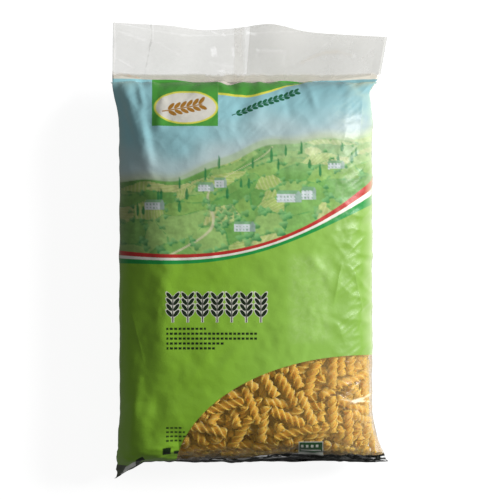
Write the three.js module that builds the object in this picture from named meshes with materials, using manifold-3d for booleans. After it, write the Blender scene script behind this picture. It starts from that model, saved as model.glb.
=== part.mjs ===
// A large sealed film packet of twisted pasta, lying on its back with the printed front up.
// Millimetres. X runs across the packet, Y along it towards the flat flap, Z up from the floor.
// The film is one closed body with a shallow recess where the front is clear,
// and the heap of pasta that shows there fills the recess.
import * as THREE from "three";
import { ParametricGeometry } from "three/addons/geometries/ParametricGeometry.js";
import { mergeVertices } from "three/addons/utils/BufferGeometryUtils.js";
import Module from "manifold-3d";

const wasm = await Module();
wasm.setup();

// Stations along the packet, from the free edge of the flap down to the end seal.
const FLAP_EDGE = 222;
const FLAP_BASE = 168;
const SHOULDER_END = 104;
const END_START = -158;
const END_SEAL = -212.5;

// How many rings of facets each stretch of the packet gets.
const FLAP_RINGS = 5;
const SHOULDER_RINGS = 11;
const BODY_RINGS = 4;
const END_RINGS = 11;
const RING_POINTS = 52;

// Heights above the floor.
const FRONT_HEIGHT = 98;
const SIDE_HEIGHT = 45;
const FLAP_BASE_HEIGHT = 37;
const FLAP_EDGE_HEIGHT = 23;
const SEAL_HEIGHT = 27;
const FLAP_HALF_THICKNESS = 0.6;

// Edges of the packet to the left and right of its long middle line.
const BODY_LEFT = -129.5;
const BODY_RIGHT = 121;
const FLAP_LEFT = -138;
const FLAP_RIGHT = 138.5;
const FLAP_RIGHT_FLARE = 9;
const EAR_LEFT = -135;
const EAR_RIGHT = 137.5;

// The body's cross-section: a rounded box, flattened where it rests, creased along each side.
const BODY_ROUNDNESS = 2.55;
const END_ROUNDNESS = 2.2;
const SHOULDER_ROUNDNESS = 2.2;
const END_DROP_ROUNDNESS = 2.5;
const FLAT_BASE_PRESS = 1.13;
const CREASE_BAND = 0.36;
const CREASE_DEPTH = 2.5;
const GUSSET_DEPTH = 15;

// The free edge of the flap runs at a slant and waves; a corner ear hangs past the end seal.
const EDGE_SLANT = 0.05;
const EDGE_WAVES = [
  { at: 21, wide: 27, rise: 6.5 },
  { at: -48, wide: 24, rise: -2.5 },
];
const FLAP_WAVE_HEIGHT = 0.55;
const EAR_ROOT = -107;
const EAR_LENGTH = 17.5;

// The back seam shows through the clear flap as a doubled strip.
const SEAM_X = -10.5;
const SEAM_WIDTH = 11;
const SEAM_THICKNESS = 0.6;
const SEAM_RINGS = 5;

// The clear window: an arc of an ellipse centred near the lower right corner, down to the seal band.
const WINDOW_CENTRE_X = 111;
const WINDOW_CENTRE_Y = -226;
const WINDOW_HALF_WIDTH = 186;
const WINDOW_HALF_LENGTH = 122;
const WINDOW_LOW_EDGE = -202;
const WINDOW_ARC_POINTS = 22;
const WINDOW_SIDE_LIMIT = 28;
const RECESS_DEPTH = 15;
const CORE_DEPTH = 7;
const FIT_GAP = 0.4;
const TRIM_TOLERANCE = 0.15;
const SKIN_TOLERANCE = 0.05;

// One piece of pasta: three fins twisted round a thin middle.
const PASTA_LENGTH = 38;
const PASTA_RADIUS = 5.1;
const PASTA_WAIST = 0.46;
const PASTA_FINS = 3;
const PASTA_TURNS = 1.35;
const PASTA_RINGS = 9;
const PASTA_DEPTH = 5.1;
const PASTA_DEPTH_SPREAD = 2;
const PASTA_PITCH = 23.5;
const PASTA_TOP = -112;
const PASTA_LOW = -198;
const PASTA_FAR_LEFT = -66;
const PASTA_FRONT_RIGHT = 108;
const PASTA_SIDE_COLUMNS = 3;
const PASTA_SIDE_TURN = 0.062;

const FILM_COLOUR = "#7fae4a";
const PASTA_COLOUR = "#d8a95c";

// A share held between 0 and 1.
function clamped(share) {
  return Math.min(1, Math.max(0, share));
}

// A smooth step from 0 to 1.
function eased(share) {
  const t = clamped(share);
  return t * t * (3 - 2 * t);
}

// A quarter of a rounded arch: steep at 0, level at 1.
function arched(share, roundness) {
  return (1 - (1 - clamped(share)) ** roundness) ** (1 / roundness);
}

// A value that moves from one number to another by a share.
function between(from, to, share) {
  return from + (to - from) * share;
}

// Repeatable random numbers from 0 to 1.
function randomSource(seed) {
  let state = seed;
  return () => {
    state = (state + 0x6d2b79f5) | 0;
    let mixed = Math.imul(state ^ (state >>> 15), 1 | state);
    mixed = (mixed + Math.imul(mixed ^ (mixed >>> 7), 61 | mixed)) ^ mixed;
    return ((mixed ^ (mixed >>> 14)) >>> 0) / 4294967296;
  };
}

// How far the rise from the flap to the full body has gone, 0 to 1.
function shoulderShare(y) {
  return (FLAP_BASE - y) / (FLAP_BASE - SHOULDER_END);
}

// How far the fall from the full body to the end seal has gone, 0 to 1.
function endShare(y) {
  return (END_START - y) / (END_START - END_SEAL);
}

// How full the packet is at a station: 0 at the flap and at the seal, 1 along the body.
function fullness(y) {
  if (y > SHOULDER_END) return arched(shoulderShare(y), SHOULDER_ROUNDNESS);
  if (y < END_START) return arched(1 - endShare(y), END_DROP_ROUNDNESS);
  return 1;
}

// Height of the packet's widest line, where front and back panels meet.
function sideHeight(y) {
  const flapShare = clamped((y - FLAP_BASE) / (FLAP_EDGE - FLAP_BASE));
  const flapHeight = between(FLAP_BASE_HEIGHT, FLAP_EDGE_HEIGHT, flapShare);
  if (y > SHOULDER_END) return between(flapHeight, SIDE_HEIGHT, eased(shoulderShare(y)));
  return between(SIDE_HEIGHT, SEAL_HEIGHT, eased(endShare(y)));
}

// Left and right edges of the packet at a station.
function edgesAt(y) {
  const toFlap = eased((y - 120) / 50);
  const toTuck = eased((y - 154) / 24);
  const toEar = clamped((-150 - y) / 62);
  const flare = FLAP_RIGHT_FLARE * clamped((FLAP_EDGE - y) / (FLAP_EDGE - FLAP_BASE));
  const rightFlap = between(BODY_RIGHT - 2.5 * toFlap, FLAP_RIGHT - flare, toTuck);
  return {
    left: between(BODY_LEFT, FLAP_LEFT, toFlap) + (EAR_LEFT - BODY_LEFT) * toEar ** 3,
    right: rightFlap + (EAR_RIGHT - BODY_RIGHT) * toEar ** 2,
  };
}

// How far the flap's free edge lies beyond its station, across the packet.
function edgeRise(x) {
  const waves = EDGE_WAVES.map((wave) => wave.rise * Math.exp(-(((x - wave.at) / wave.wide) ** 2)));
  return waves.reduce((sum, wave) => sum + wave, -EDGE_SLANT * x);
}

// A point of the packet's skin, or of a copy of it drawn in by a depth.
// turn runs once round the cross-section, from the right edge over the front; y is the station.
function skinPoint(turn, y, depth, target) {
  const angle = turn * 2 * Math.PI;
  const full = fullness(y);
  const middle = sideHeight(y);
  const front = Math.max(middle + FLAP_HALF_THICKNESS, between(middle, FRONT_HEIGHT, full));
  const back = Math.min(middle - FLAP_HALF_THICKNESS, middle * (1 - full));
  const power = 2 / between(END_ROUNDNESS, BODY_ROUNDNESS, full);
  const across = Math.sign(Math.cos(angle)) * Math.abs(Math.cos(angle)) ** power;
  const up = Math.sign(Math.sin(angle)) * Math.abs(Math.sin(angle)) ** power;

  const { left, right } = edgesAt(y);
  const centre = (left + right) / 2;
  const half = (right - left) / 2 - depth;
  const gusset = between(GUSSET_DEPTH, CREASE_DEPTH, full ** 3) * Math.min(1, 3 * full);
  const tuck = (gusset * Math.max(0, 1 - Math.abs(up) / CREASE_BAND)) / half;
  const widest = Math.max((1 - CREASE_BAND ** (2 / power)) ** (power / 2), 1 - gusset / half);
  const x = centre + (half * (across - Math.sign(across) * Math.min(tuck, Math.abs(across)))) / widest;

  const rise = Math.max(0.1, front - middle - depth);
  const drop = Math.max(0.1, middle - back - depth);
  const z = up > 0 ? middle + rise * up : middle + Math.max(-drop, FLAT_BASE_PRESS * drop * up);

  const inFlap = clamped((y - FLAP_BASE) / (FLAP_EDGE - FLAP_BASE));
  const inEar = eased((-192 - y) / 20) * clamped((EAR_ROOT - x) / (EAR_ROOT - EAR_LEFT));
  const lift = FLAP_WAVE_HEIGHT * edgeRise(x) * inFlap;
  return target.set(x, y + edgeRise(x) * inFlap - EAR_LENGTH * inEar, z + lift - 6 * inEar);
}

// Station of a ring, with rings set closer where the packet turns down to the flap and the seal.
function stationAt(ring) {
  const rings = [FLAP_RINGS, SHOULDER_RINGS, BODY_RINGS, END_RINGS];
  const [toShoulder, toBody, toEnd] = [0, 1, 2].map((last) => {
    return rings.slice(0, last + 1).reduce((sum, count) => sum + count, 0);
  });
  if (ring <= toShoulder) return between(FLAP_EDGE, FLAP_BASE, ring / FLAP_RINGS);
  if (ring <= toBody) {
    const share = (ring - toShoulder) / SHOULDER_RINGS;
    return between(FLAP_BASE, SHOULDER_END, 1 - Math.cos((share * Math.PI) / 2));
  }
  if (ring <= toEnd) return between(SHOULDER_END, END_START, (ring - toBody) / BODY_RINGS);
  const share = (ring - toEnd) / END_RINGS;
  return between(END_START, END_SEAL, Math.sin((share * Math.PI) / 2));
}

// The packet's skin as a closed solid; its two ends close on a line.
function skinSolid(depth) {
  const rings = FLAP_RINGS + SHOULDER_RINGS + BODY_RINGS + END_RINGS;
  const upper = new THREE.Vector3();
  const lower = new THREE.Vector3();
  const geometry = new ParametricGeometry(
    (turn, share, target) => {
      skinPoint(turn, stationAt(share * rings), depth, target);
      const ring = Math.round(share * rings);
      if (ring > 0 && ring < rings) return;
      skinPoint(1 - turn, stationAt(share * rings), depth, lower);
      upper.copy(target);
      target.lerpVectors(upper, lower, 0.5);
    },
    RING_POINTS,
    rings,
  );
  return solidOf(geometry);
}

// A three.js geometry as a solid that can be cut and joined.
function solidOf(geometry) {
  geometry.deleteAttribute("normal");
  geometry.deleteAttribute("uv");
  const merged = mergeVertices(geometry, 1e-4);
  const corners = merged.index.array;
  const kept = [];
  for (let i = 0; i < corners.length; i += 3) {
    const [a, b, c] = corners.slice(i, i + 3);
    if (a !== b && b !== c && c !== a) kept.push(a, b, c);
  }
  return new wasm.Manifold(
    new wasm.Mesh({
      numProp: 3,
      vertProperties: merged.attributes.position.array,
      triVerts: new Uint32Array(kept),
    }),
  );
}

// A solid as a named mesh.
function meshOf(solid, name, colour) {
  const result = solid.getMesh();
  const geometry = new THREE.BufferGeometry();
  geometry.setAttribute("position", new THREE.BufferAttribute(result.vertProperties, 3));
  geometry.setIndex(new THREE.BufferAttribute(result.triVerts, 1));
  geometry.computeVertexNormals();
  const mesh = new THREE.Mesh(geometry, new THREE.MeshStandardMaterial({ color: colour }));
  mesh.name = name;
  return mesh;
}

// The upright block under the window's outline, drawn in by a gap.
function windowBlock(gap) {
  const outline = new THREE.Shape();
  const halfWidth = WINDOW_HALF_WIDTH - gap;
  const halfLength = WINDOW_HALF_LENGTH - gap;
  const low = WINDOW_LOW_EDGE + gap;
  const startAngle = Math.PI - Math.asin((low - WINDOW_CENTRE_Y) / halfLength);
  for (let i = 0; i <= WINDOW_ARC_POINTS; i += 1) {
    const angle = between(startAngle, Math.PI / 2, i / WINDOW_ARC_POINTS);
    const x = WINDOW_CENTRE_X + halfWidth * Math.cos(angle);
    const y = WINDOW_CENTRE_Y + halfLength * Math.sin(angle);
    if (i === 0) outline.moveTo(x, y);
    else outline.lineTo(x, y);
  }
  outline.lineTo(EAR_RIGHT + 20, WINDOW_CENTRE_Y + halfLength);
  outline.lineTo(EAR_RIGHT + 20, low);
  const bottom = WINDOW_SIDE_LIMIT + gap;
  const geometry = new THREE.ExtrudeGeometry(outline, {
    depth: FRONT_HEIGHT + 20 - bottom,
    bevelEnabled: false,
  });
  geometry.translate(0, 0, bottom);
  return solidOf(geometry);
}

// Where round the cross-section the front of the packet passes over a given x.
function turnOver(x, y) {
  const point = new THREE.Vector3();
  let right = 0;
  let left = 0.5;
  for (let step = 0; step < 20; step += 1) {
    const turn = (right + left) / 2;
    if (skinPoint(turn, y, 0, point).x > x) right = turn;
    else left = turn;
  }
  return (right + left) / 2;
}

// The doubled strip of the back seam, following the top of the flap.
function seamStrip() {
  const geometry = new ParametricGeometry(
    (turn, share, target) => {
      const corner = Math.round(turn * 4) % 4;
      const side = corner === 0 || corner === 3 ? 0.5 : -0.5;
      const isCap = share === 0 || share === 1;
      const along = clamped((share * (SEAM_RINGS + 2) - 1) / SEAM_RINGS);
      const y = between(FLAP_EDGE, FLAP_BASE + 4, along);
      const x = SEAM_X + (isCap ? 0 : side * SEAM_WIDTH);
      skinPoint(turnOver(x, y), y, 0, target);
      target.z += corner < 2 && !isCap ? SEAM_THICKNESS : -FLAP_HALF_THICKNESS;
    },
    4,
    SEAM_RINGS + 2,
  );
  return solidOf(geometry);
}

// One twisted piece along X, centred.
function pastaPiece() {
  const points = PASTA_FINS * 2;
  return new ParametricGeometry(
    (turn, share, target) => {
      const ring = clamped((share * (PASTA_RINGS + 2) - 1) / PASTA_RINGS);
      const onFin = Math.round(turn * points) % 2 === 0;
      const isCap = share === 0 || share === 1;
      const radius = isCap ? 0 : PASTA_RADIUS * (onFin ? 1 : PASTA_WAIST);
      const angle = 2 * Math.PI * (turn + ring * PASTA_TURNS);
      const x = (ring - 0.5) * PASTA_LENGTH;
      target.set(x, radius * Math.cos(angle), radius * Math.sin(angle));
    },
    points,
    PASTA_RINGS + 2,
  );
}

// Places one piece against the inside of the film, turned by an angle in the film's own plane.
function placedPasta(turn, y, heading, roll, depth) {
  const here = skinPoint(turn, y, depth, new THREE.Vector3());
  const round = skinPoint(turn - 0.004, y, depth, new THREE.Vector3()).sub(here).normalize();
  const along = skinPoint(turn, y + 1, depth, new THREE.Vector3()).sub(here).normalize();
  const axis = round.multiplyScalar(Math.cos(heading)).addScaledVector(along, Math.sin(heading));
  const spin = new THREE.Quaternion().setFromAxisAngle(new THREE.Vector3(1, 0, 0), roll);
  const swing = new THREE.Quaternion().setFromUnitVectors(
    new THREE.Vector3(1, 0, 0),
    axis.normalize(),
  );
  const geometry = pastaPiece();
  geometry.applyQuaternion(swing.multiply(spin));
  geometry.translate(here.x, here.y, here.z);
  return solidOf(geometry);
}

// Whether a piece centred at a point of the front shows through the window.
function isInWindow(x, y) {
  const across = (x - WINDOW_CENTRE_X) / WINDOW_HALF_WIDTH;
  const along = (y - WINDOW_CENTRE_Y) / WINDOW_HALF_LENGTH;
  return x > WINDOW_CENTRE_X || across ** 2 + along ** 2 < 0.98;
}

// The pieces that lie against the front of the film, on a loose grid.
function frontPasta(random) {
  const pieces = [];
  for (let y = PASTA_TOP; y > PASTA_LOW; y -= PASTA_PITCH) {
    for (let x = PASTA_FAR_LEFT; x < PASTA_FRONT_RIGHT; x += PASTA_PITCH) {
      const atX = x + PASTA_PITCH * (random() - 0.3);
      const atY = y + PASTA_PITCH * (random() - 0.7);
      const heading = Math.PI * (random() - 0.5);
      const depth = PASTA_DEPTH + PASTA_DEPTH_SPREAD * random();
      const roll = Math.PI * random();
      if (!isInWindow(atX, atY)) continue;
      pieces.push(placedPasta(turnOver(atX, atY), atY, heading, roll, depth));
    }
  }
  return pieces;
}

// The pieces that lie along the side of the packet, where the window runs on round the edge.
function sidePasta(random) {
  const pieces = [];
  for (let y = PASTA_TOP - 10; y > PASTA_LOW; y -= PASTA_PITCH) {
    for (let column = 0; column < PASTA_SIDE_COLUMNS; column += 1) {
      const turn = PASTA_SIDE_TURN * ((column + random()) / PASTA_SIDE_COLUMNS) - 0.004;
      const heading = Math.PI * (0.5 + 0.3 * (random() - 0.5));
      const depth = PASTA_DEPTH + PASTA_DEPTH_SPREAD * random();
      const atY = y + 8 * (random() - 0.5);
      pieces.push(placedPasta(turn, atY, heading, Math.PI * random(), depth));
    }
  }
  return pieces;
}

// The pasta seen through the window: a core with whole pieces fused on, trimmed to the recess.
function pastaHeap() {
  const random = randomSource(71);
  const block = windowBlock(FIT_GAP);
  const core = block.intersect(skinSolid(CORE_DEPTH));
  return wasm.Manifold.union([core, ...frontPasta(random), ...sidePasta(random)])
    .intersect(block)
    .intersect(skinSolid(FIT_GAP))
    .subtract(skinSolid(RECESS_DEPTH - FIT_GAP))
    .simplify(TRIM_TOLERANCE);
}

// The film with the seam strip on its flap and the recess behind the window.
function filmBag() {
  const recess = windowBlock(0).subtract(skinSolid(RECESS_DEPTH));
  return skinSolid(0).add(seamStrip()).subtract(recess).simplify(SKIN_TOLERANCE);
}

// The largest single body of a solid, without loose crumbs left by trimming.
function largestBody(solid) {
  const bodies = solid.decompose();
  return bodies.reduce((best, body) => (body.volume() > best.volume() ? body : best));
}

const packet = new THREE.Group();
packet.name = "pasta_packet";
packet.add(meshOf(largestBody(filmBag()), "film_bag", FILM_COLOUR));
packet.add(meshOf(largestBody(pastaHeap()), "fusilli", PASTA_COLOUR));

// The origin sits on the floor under the middle of the packet.
const bounds = new THREE.Box3().setFromObject(packet);
const middle = bounds.getCenter(new THREE.Vector3());
packet.children.forEach((mesh) => mesh.geometry.translate(-middle.x, -middle.y, -bounds.min.z));

export default packet;
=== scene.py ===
"""Dressed look of a large sealed film packet of twisted pasta, lying on its back.

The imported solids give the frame. The film is one skin, cut along real print edges into printed front,
printed back, clear flap, clear window and dark seal band, and loose pasta is packed behind the window.
Sizes are in millimetres from the middle of the packet's front, and become metres where a mesh is made.
"""

import logging
import math
from dataclasses import dataclass, field
from enum import Enum
from typing import Any, Callable, Optional, Sequence

import bmesh
import bpy
import numpy as np
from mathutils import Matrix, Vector


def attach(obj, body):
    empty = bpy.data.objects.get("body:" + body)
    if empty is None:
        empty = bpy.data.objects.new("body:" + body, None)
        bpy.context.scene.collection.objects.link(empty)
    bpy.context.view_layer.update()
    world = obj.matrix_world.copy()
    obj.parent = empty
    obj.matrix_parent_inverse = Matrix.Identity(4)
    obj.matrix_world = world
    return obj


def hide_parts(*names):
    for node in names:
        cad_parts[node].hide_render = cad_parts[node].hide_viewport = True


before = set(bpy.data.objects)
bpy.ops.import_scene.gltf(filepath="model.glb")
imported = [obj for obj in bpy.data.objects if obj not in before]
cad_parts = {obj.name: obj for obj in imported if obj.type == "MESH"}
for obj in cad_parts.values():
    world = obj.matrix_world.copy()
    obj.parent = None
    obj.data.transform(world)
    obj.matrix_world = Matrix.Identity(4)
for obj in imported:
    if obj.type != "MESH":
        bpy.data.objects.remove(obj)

LOG = logging.getLogger("pasta_packet")
MM = 0.001
EDGE_MM = 0.35

Array = np.ndarray


def to_linear(code: str) -> tuple[float, float, float]:
    """Turns an sRGB hex colour into linear light.

    Args:
        code: Colour such as "#7fae4a".

    Returns:
        Red, green and blue, 0 to 1, in linear light.
    """
    shares = (int(code[i : i + 2], 16) / 255 for i in (1, 3, 5))
    return tuple(s / 12.92 if s <= 0.04045 else ((s + 0.055) / 1.055) ** 2.4 for s in shares)


def eased(share: Array) -> Array:
    """Smooth step from 0 to 1 over a share."""
    held = np.clip(share, 0.0, 1.0)
    return held * held * (3 - 2 * held)


def arched(share: Array, roundness: float) -> Array:
    """Quarter of a rounded arch, steep at 0 and level at 1."""
    return (1 - (1 - np.clip(share, 0.0, 1.0)) ** roundness) ** (1 / roundness)


def bell(distance: Array, width: float) -> Array:
    """Soft bump, 1 at no distance and fading over a width."""
    return np.exp(-((distance / width) ** 2))


def mixed(first: Array, second: Array, share: Array) -> Array:
    """Blend from first to second by a share, for numbers or for colours."""
    return first + (second - first) * share


class Lumps:
    """Smooth repeatable noise from a table of random heights."""

    TABLE_SIDE = 128

    def __init__(self, seed: int) -> None:
        """Fills the table from a seed."""
        self.table = np.random.default_rng(seed).random((self.TABLE_SIDE, self.TABLE_SIDE))

    def pick(self, row: Array, column: Array) -> Array:
        """Heights from the table, which repeats in both directions."""
        return self.table[row % self.TABLE_SIDE, column % self.TABLE_SIDE]

    def at(self, across: Array, along: Array, size: float) -> Array:
        """Noise height at points.

        Args:
            across: First coordinate, mm.
            along: Second coordinate, mm.
            size: Distance between neighbouring lumps, mm.

        Returns:
            Heights from -1 to 1.
        """
        column, row = across / size, along / size
        c0, r0 = np.floor(column).astype(int), np.floor(row).astype(int)
        fc, fr = eased(column - c0), eased(row - r0)
        low = mixed(self.pick(r0, c0), self.pick(r0, c0 + 1), fc)
        high = mixed(self.pick(r0 + 1, c0), self.pick(r0 + 1, c0 + 1), fc)
        return 2 * mixed(low, high, fr) - 1


@dataclass(frozen=True)
class PacketForm:
    """The packet's skin as a formula of a turn round it and a station along it, in mm."""

    flap_edge: float = 222.0
    flap_base: float = 168.0
    shoulder_end: float = 104.0
    end_start: float = -158.0
    end_seal: float = -212.5
    front_height: float = 98.0
    side_height: float = 45.0
    flap_base_height: float = 37.0
    flap_edge_height: float = 23.0
    seal_height: float = 27.0
    flap_half_thickness: float = 0.6
    body_left: float = -129.5
    body_right: float = 121.0
    flap_left: float = -138.0
    flap_right: float = 138.5
    flap_right_flare: float = 9.0
    ear_left: float = -135.0
    ear_right: float = 137.5
    body_roundness: float = 2.55
    end_roundness: float = 2.2
    shoulder_roundness: float = 2.2
    end_drop_roundness: float = 2.5
    flat_base_press: float = 1.13
    crease_band: float = 0.36
    crease_depth: float = 2.5
    gusset_depth: float = 15.0
    edge_slant: float = 0.05
    edge_waves: tuple[tuple[float, float, float], ...] = ((21.0, 27.0, 6.5), (-48.0, 24.0, -2.5))
    flap_wave_height: float = 0.55
    widen_start: float = 120.0
    widen_length: float = 50.0
    tuck_start: float = 154.0
    tuck_length: float = 24.0
    shoulder_inset: float = 2.5
    ear_start: float = -150.0
    ear_run: float = 62.0
    ear_root: float = -107.0
    ear_length: float = 17.5
    ear_drop: float = 6.0
    shift: tuple[float, float, float] = (0.0095, 0.573, 0.0)

    def fullness(self, station: Array) -> Array:
        """How full the packet is at stations: 0 at flap and seal, 1 along the body."""
        shoulder = (self.flap_base - station) / (self.flap_base - self.shoulder_end)
        end = (station - self.end_seal) / (self.end_start - self.end_seal)
        full = np.where(station > self.shoulder_end, arched(shoulder, self.shoulder_roundness), 1.0)
        return np.where(station < self.end_start, arched(end, self.end_drop_roundness), full)

    def flap_share(self, station: Array) -> Array:
        """How far stations are out along the flap: 0 at its base, 1 at its free edge."""
        return np.clip((station - self.flap_base) / (self.flap_edge - self.flap_base), 0, 1)

    def middle(self, station: Array) -> Array:
        """Height of the packet's widest line at stations."""
        in_flap = self.flap_share(station)
        flap = mixed(self.flap_base_height, self.flap_edge_height, in_flap)
        shoulder = eased((self.flap_base - station) / (self.flap_base - self.shoulder_end))
        end = eased((self.end_start - station) / (self.end_start - self.end_seal))
        upper = mixed(flap, self.side_height, shoulder)
        lower = mixed(self.side_height, self.seal_height, end)
        return np.where(station > self.shoulder_end, upper, lower)

    def edges(self, station: Array) -> tuple[Array, Array]:
        """Left and right edges of the packet at stations."""
        to_flap = eased((station - self.widen_start) / self.widen_length)
        to_tuck = eased((station - self.tuck_start) / self.tuck_length)
        to_ear = np.clip((self.ear_start - station) / self.ear_run, 0, 1)
        from_edge = np.clip((self.flap_edge - station) / (self.flap_edge - self.flap_base), 0, 1)
        flap_right = self.flap_right - self.flap_right_flare * from_edge
        right = mixed(self.body_right - self.shoulder_inset * to_flap, flap_right, to_tuck)
        left = mixed(self.body_left, self.flap_left, to_flap)
        left = left + (self.ear_left - self.body_left) * to_ear**3
        return left, right + (self.ear_right - self.body_right) * to_ear**2

    def edge_rise(self, across: Array) -> Array:
        """How far the flap's free edge lies beyond its station."""
        rise = -self.edge_slant * across
        for at, width, height in self.edge_waves:
            rise = rise + height * bell(across - at, width)
        return rise

    def skin(self, turn: Array, station: Array, depth: Array = 0.0) -> Array:
        """Points of the skin, or of a copy of it drawn in by a depth.

        Args:
            turn: Share of the way round, from the right edge over the front.
            station: Place along the packet.
            depth: How far inside the skin.

        Returns:
            Points with x, y, z last.
        """
        angle = 2 * math.pi * turn
        full = self.fullness(station)
        middle = self.middle(station)
        front = np.maximum(middle + self.flap_half_thickness, mixed(middle, self.front_height, full))
        back = np.minimum(middle - self.flap_half_thickness, middle * (1 - full))
        power = 2 / mixed(self.end_roundness, self.body_roundness, full)
        across = np.sign(np.cos(angle)) * np.abs(np.cos(angle)) ** power
        up = np.sign(np.sin(angle)) * np.abs(np.sin(angle)) ** power

        left, right = self.edges(station)
        half = (right - left) / 2 - depth
        gusset = mixed(self.gusset_depth, self.crease_depth, full**3) * np.minimum(1, 3 * full)
        tuck = gusset * np.maximum(0, 1 - np.abs(up) / self.crease_band) / half
        corner = (1 - self.crease_band ** (2 / power)) ** (power / 2)
        widest = np.maximum(corner, 1 - gusset / half)
        pulled = across - np.sign(across) * np.minimum(tuck, np.abs(across))
        x = (left + right) / 2 + half * pulled / widest

        rise = np.maximum(0.1, front - middle - depth)
        drop = np.maximum(0.1, middle - back - depth)
        lower = np.maximum(-drop, self.flat_base_press * drop * up)
        z = middle + np.where(up > 0, rise * up, lower)

        in_flap = self.flap_share(station)
        in_ear = np.clip((self.ear_root - x) / (self.ear_root - self.ear_left), 0, None)
        in_ear = eased((-192 - station) / 20) * in_ear
        y = station + self.edge_rise(x) * in_flap - self.ear_length * np.clip(in_ear, 0, 1)
        z = z + self.flap_wave_height * self.edge_rise(x) * in_flap - self.ear_drop * np.clip(in_ear, 0, 1)
        return np.stack(np.broadcast_arrays(x, y, z), axis=-1)


@dataclass(frozen=True)
class Viewpoint:
    """The camera's place over the packet, shared by the print's coordinates and the camera."""

    height: float = 3000.0
    sharp_height: float = 45.0
    picture_width: float = 500.0

    def spread(self, points: Array) -> tuple[Array, Array]:
        """Where points fall on the plane of the packet's widest line, seen from the camera."""
        scale = (self.height - self.sharp_height) / (self.height - points[..., 2])
        return points[..., 0] * scale, points[..., 1] * scale


@dataclass(frozen=True)
class Fold:
    """A raised or sunk line in the film, between two points of the print, in mm."""

    start: tuple[float, float]
    end: tuple[float, float]
    width: float
    height: float
    sharp: bool = False

    def at(self, across: Array, along: Array) -> Array:
        """Height that the fold gives to points of the print."""
        run = np.array(self.end) - np.array(self.start)
        share = (across - self.start[0]) * run[0] + (along - self.start[1]) * run[1]
        share = share / float(run @ run)
        held = np.clip(share, 0, 1)
        off_across = across - self.start[0] - held * run[0]
        off_along = along - self.start[1] - held * run[1]
        distance = np.hypot(off_across, off_along)
        fade = np.sin(np.pi * np.clip(held * 0.92 + 0.04, 0, 1)) ** 0.6
        profile = np.exp(-distance / self.width) if self.sharp else bell(distance, self.width)
        return self.height * profile * fade


@dataclass
class FilmRelief:
    """Lumps, cockles and folds of the tight film, as heights over the smooth form."""

    seed: int = 11
    pasta_lump: float = 15.0
    pasta_height: float = 0.55
    crinkle_height: float = 0.4
    pucker_height: float = 1.7
    flap_wave: float = 0.6
    seal_wave: float = 0.9
    seal_hollow: float = 3.2
    seal_start: float = -186.0
    hollow_across: float = 44.0
    hollow_width: float = 30.0
    pucker_line: float = 182.0
    pucker_reach: float = 20.0
    flap_start: float = 166.0
    folds: tuple[Fold, ...] = field(default_factory=tuple)
    lifts: tuple[Fold, ...] = field(default_factory=tuple)

    @staticmethod
    def on_front(points: Array) -> Array:
        """How far points belong to the front: 0 low on the sides, 1 on top."""
        return eased((points[..., 2] - 30) / 25)

    def raised(self, across: Array, along: Array, points: Array) -> Array:
        """How far broad loose parts of the front stand up, mm."""
        return sum(lift.at(across, along) for lift in self.lifts) * self.on_front(points)

    def heights(self, across: Array, along: Array, points: Array) -> Array:
        """Heights over the skin.

        Args:
            across: Print coordinate across the packet.
            along: Print coordinate along the packet.
            points: The smooth skin's points.

        Returns:
            Height along the skin's normal, mm.
        """
        lumps = Lumps(self.seed)
        bent = across + 6 * lumps.at(across + 40, along, 30)
        body = self.pasta_height * lumps.at(bent, along + 500, self.pasta_lump)
        body = body + 0.45 * self.pasta_height * lumps.at(bent + 300, along, self.pasta_lump / 2.2)
        crinkle = 1 - np.abs(lumps.at(0.8 * across + 0.5 * along, along + 90, 13)) * 2
        crinkle = crinkle + 0.6 * (1 - np.abs(lumps.at(across - along, 0.7 * along, 7)) * 2)
        right = eased((across - 66) / 40) * eased((along + 190) / 30)
        top = eased((along - 70) / 50) * (1 - 0.4 * right)
        flap = eased((points[..., 1] - self.flap_start) / 8)
        height = body * (1 - 0.8 * flap)
        height = height + self.crinkle_height * crinkle * np.maximum(0.9 * right, 0.5 * top) * (1 - flap)
        drawn = lumps.at(across + 5 * lumps.at(across, along, 19), 0.3 * along, 10)
        pucker = bell(along - self.pucker_line, self.pucker_reach) * drawn
        height = height + self.pucker_height * pucker * (1 - 0.8 * flap)
        height = height + flap * self.flap_wave * lumps.at(across, 0.6 * along, 26)
        front = self.on_front(points)
        for fold in self.folds:
            height = height + fold.at(across, along) * np.maximum(front, flap)
        seal = eased((self.seal_start - points[..., 1]) / 18) * (1 - flap)
        height = height + self.seal_wave * seal * lumps.at(across, 3 * along, 9)
        height = height - self.seal_hollow * seal * bell(across - self.hollow_across, self.hollow_width)
        off_floor = eased((points[..., 2] - 2) / 14)
        return height * off_floor


@dataclass(frozen=True)
class WindowShape:
    """The clear window: an arc of an ellipse centred near the lower right corner."""

    centre: tuple[float, float] = (111.0, -226.0)
    half_width: float = 186.0
    half_length: float = 122.0
    low_edge: float = -203.5
    low_dip: float = 6.0
    side_limit: float = 28.0
    side_drop: float = 19.0
    side_start: float = 85.0

    def low_line(self, across: Array) -> Array:
        """The window's low edge, which dips towards the left."""
        return self.low_edge - self.low_dip * eased((60 - across) / 150) + 0.5 * np.sin(across / 7)

    def side_low(self, widest: Array) -> Array:
        """How low the window goes round the side, given the height of the widest line."""
        return np.minimum(self.side_limit, widest - self.side_drop)

    def inside(self, points: Array, widest: Array) -> Array:
        """Value of points, above 0 where the film is clear, given the height of the widest line."""
        across = np.minimum(0, points[..., 0] - self.centre[0]) / self.half_width
        along = np.maximum(0, points[..., 1] - self.centre[1]) / self.half_length
        arc = (1 - np.hypot(across, along)) * self.half_length
        low = points[..., 1] - self.low_line(points[..., 0])
        side = points[..., 2] - self.side_low(widest)
        under = points[..., 2] < widest
        start = np.where(under, self.side_start, self.centre[0] - self.half_width)
        return np.minimum(np.minimum(arc, low), np.minimum(side, points[..., 0] - start))


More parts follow.
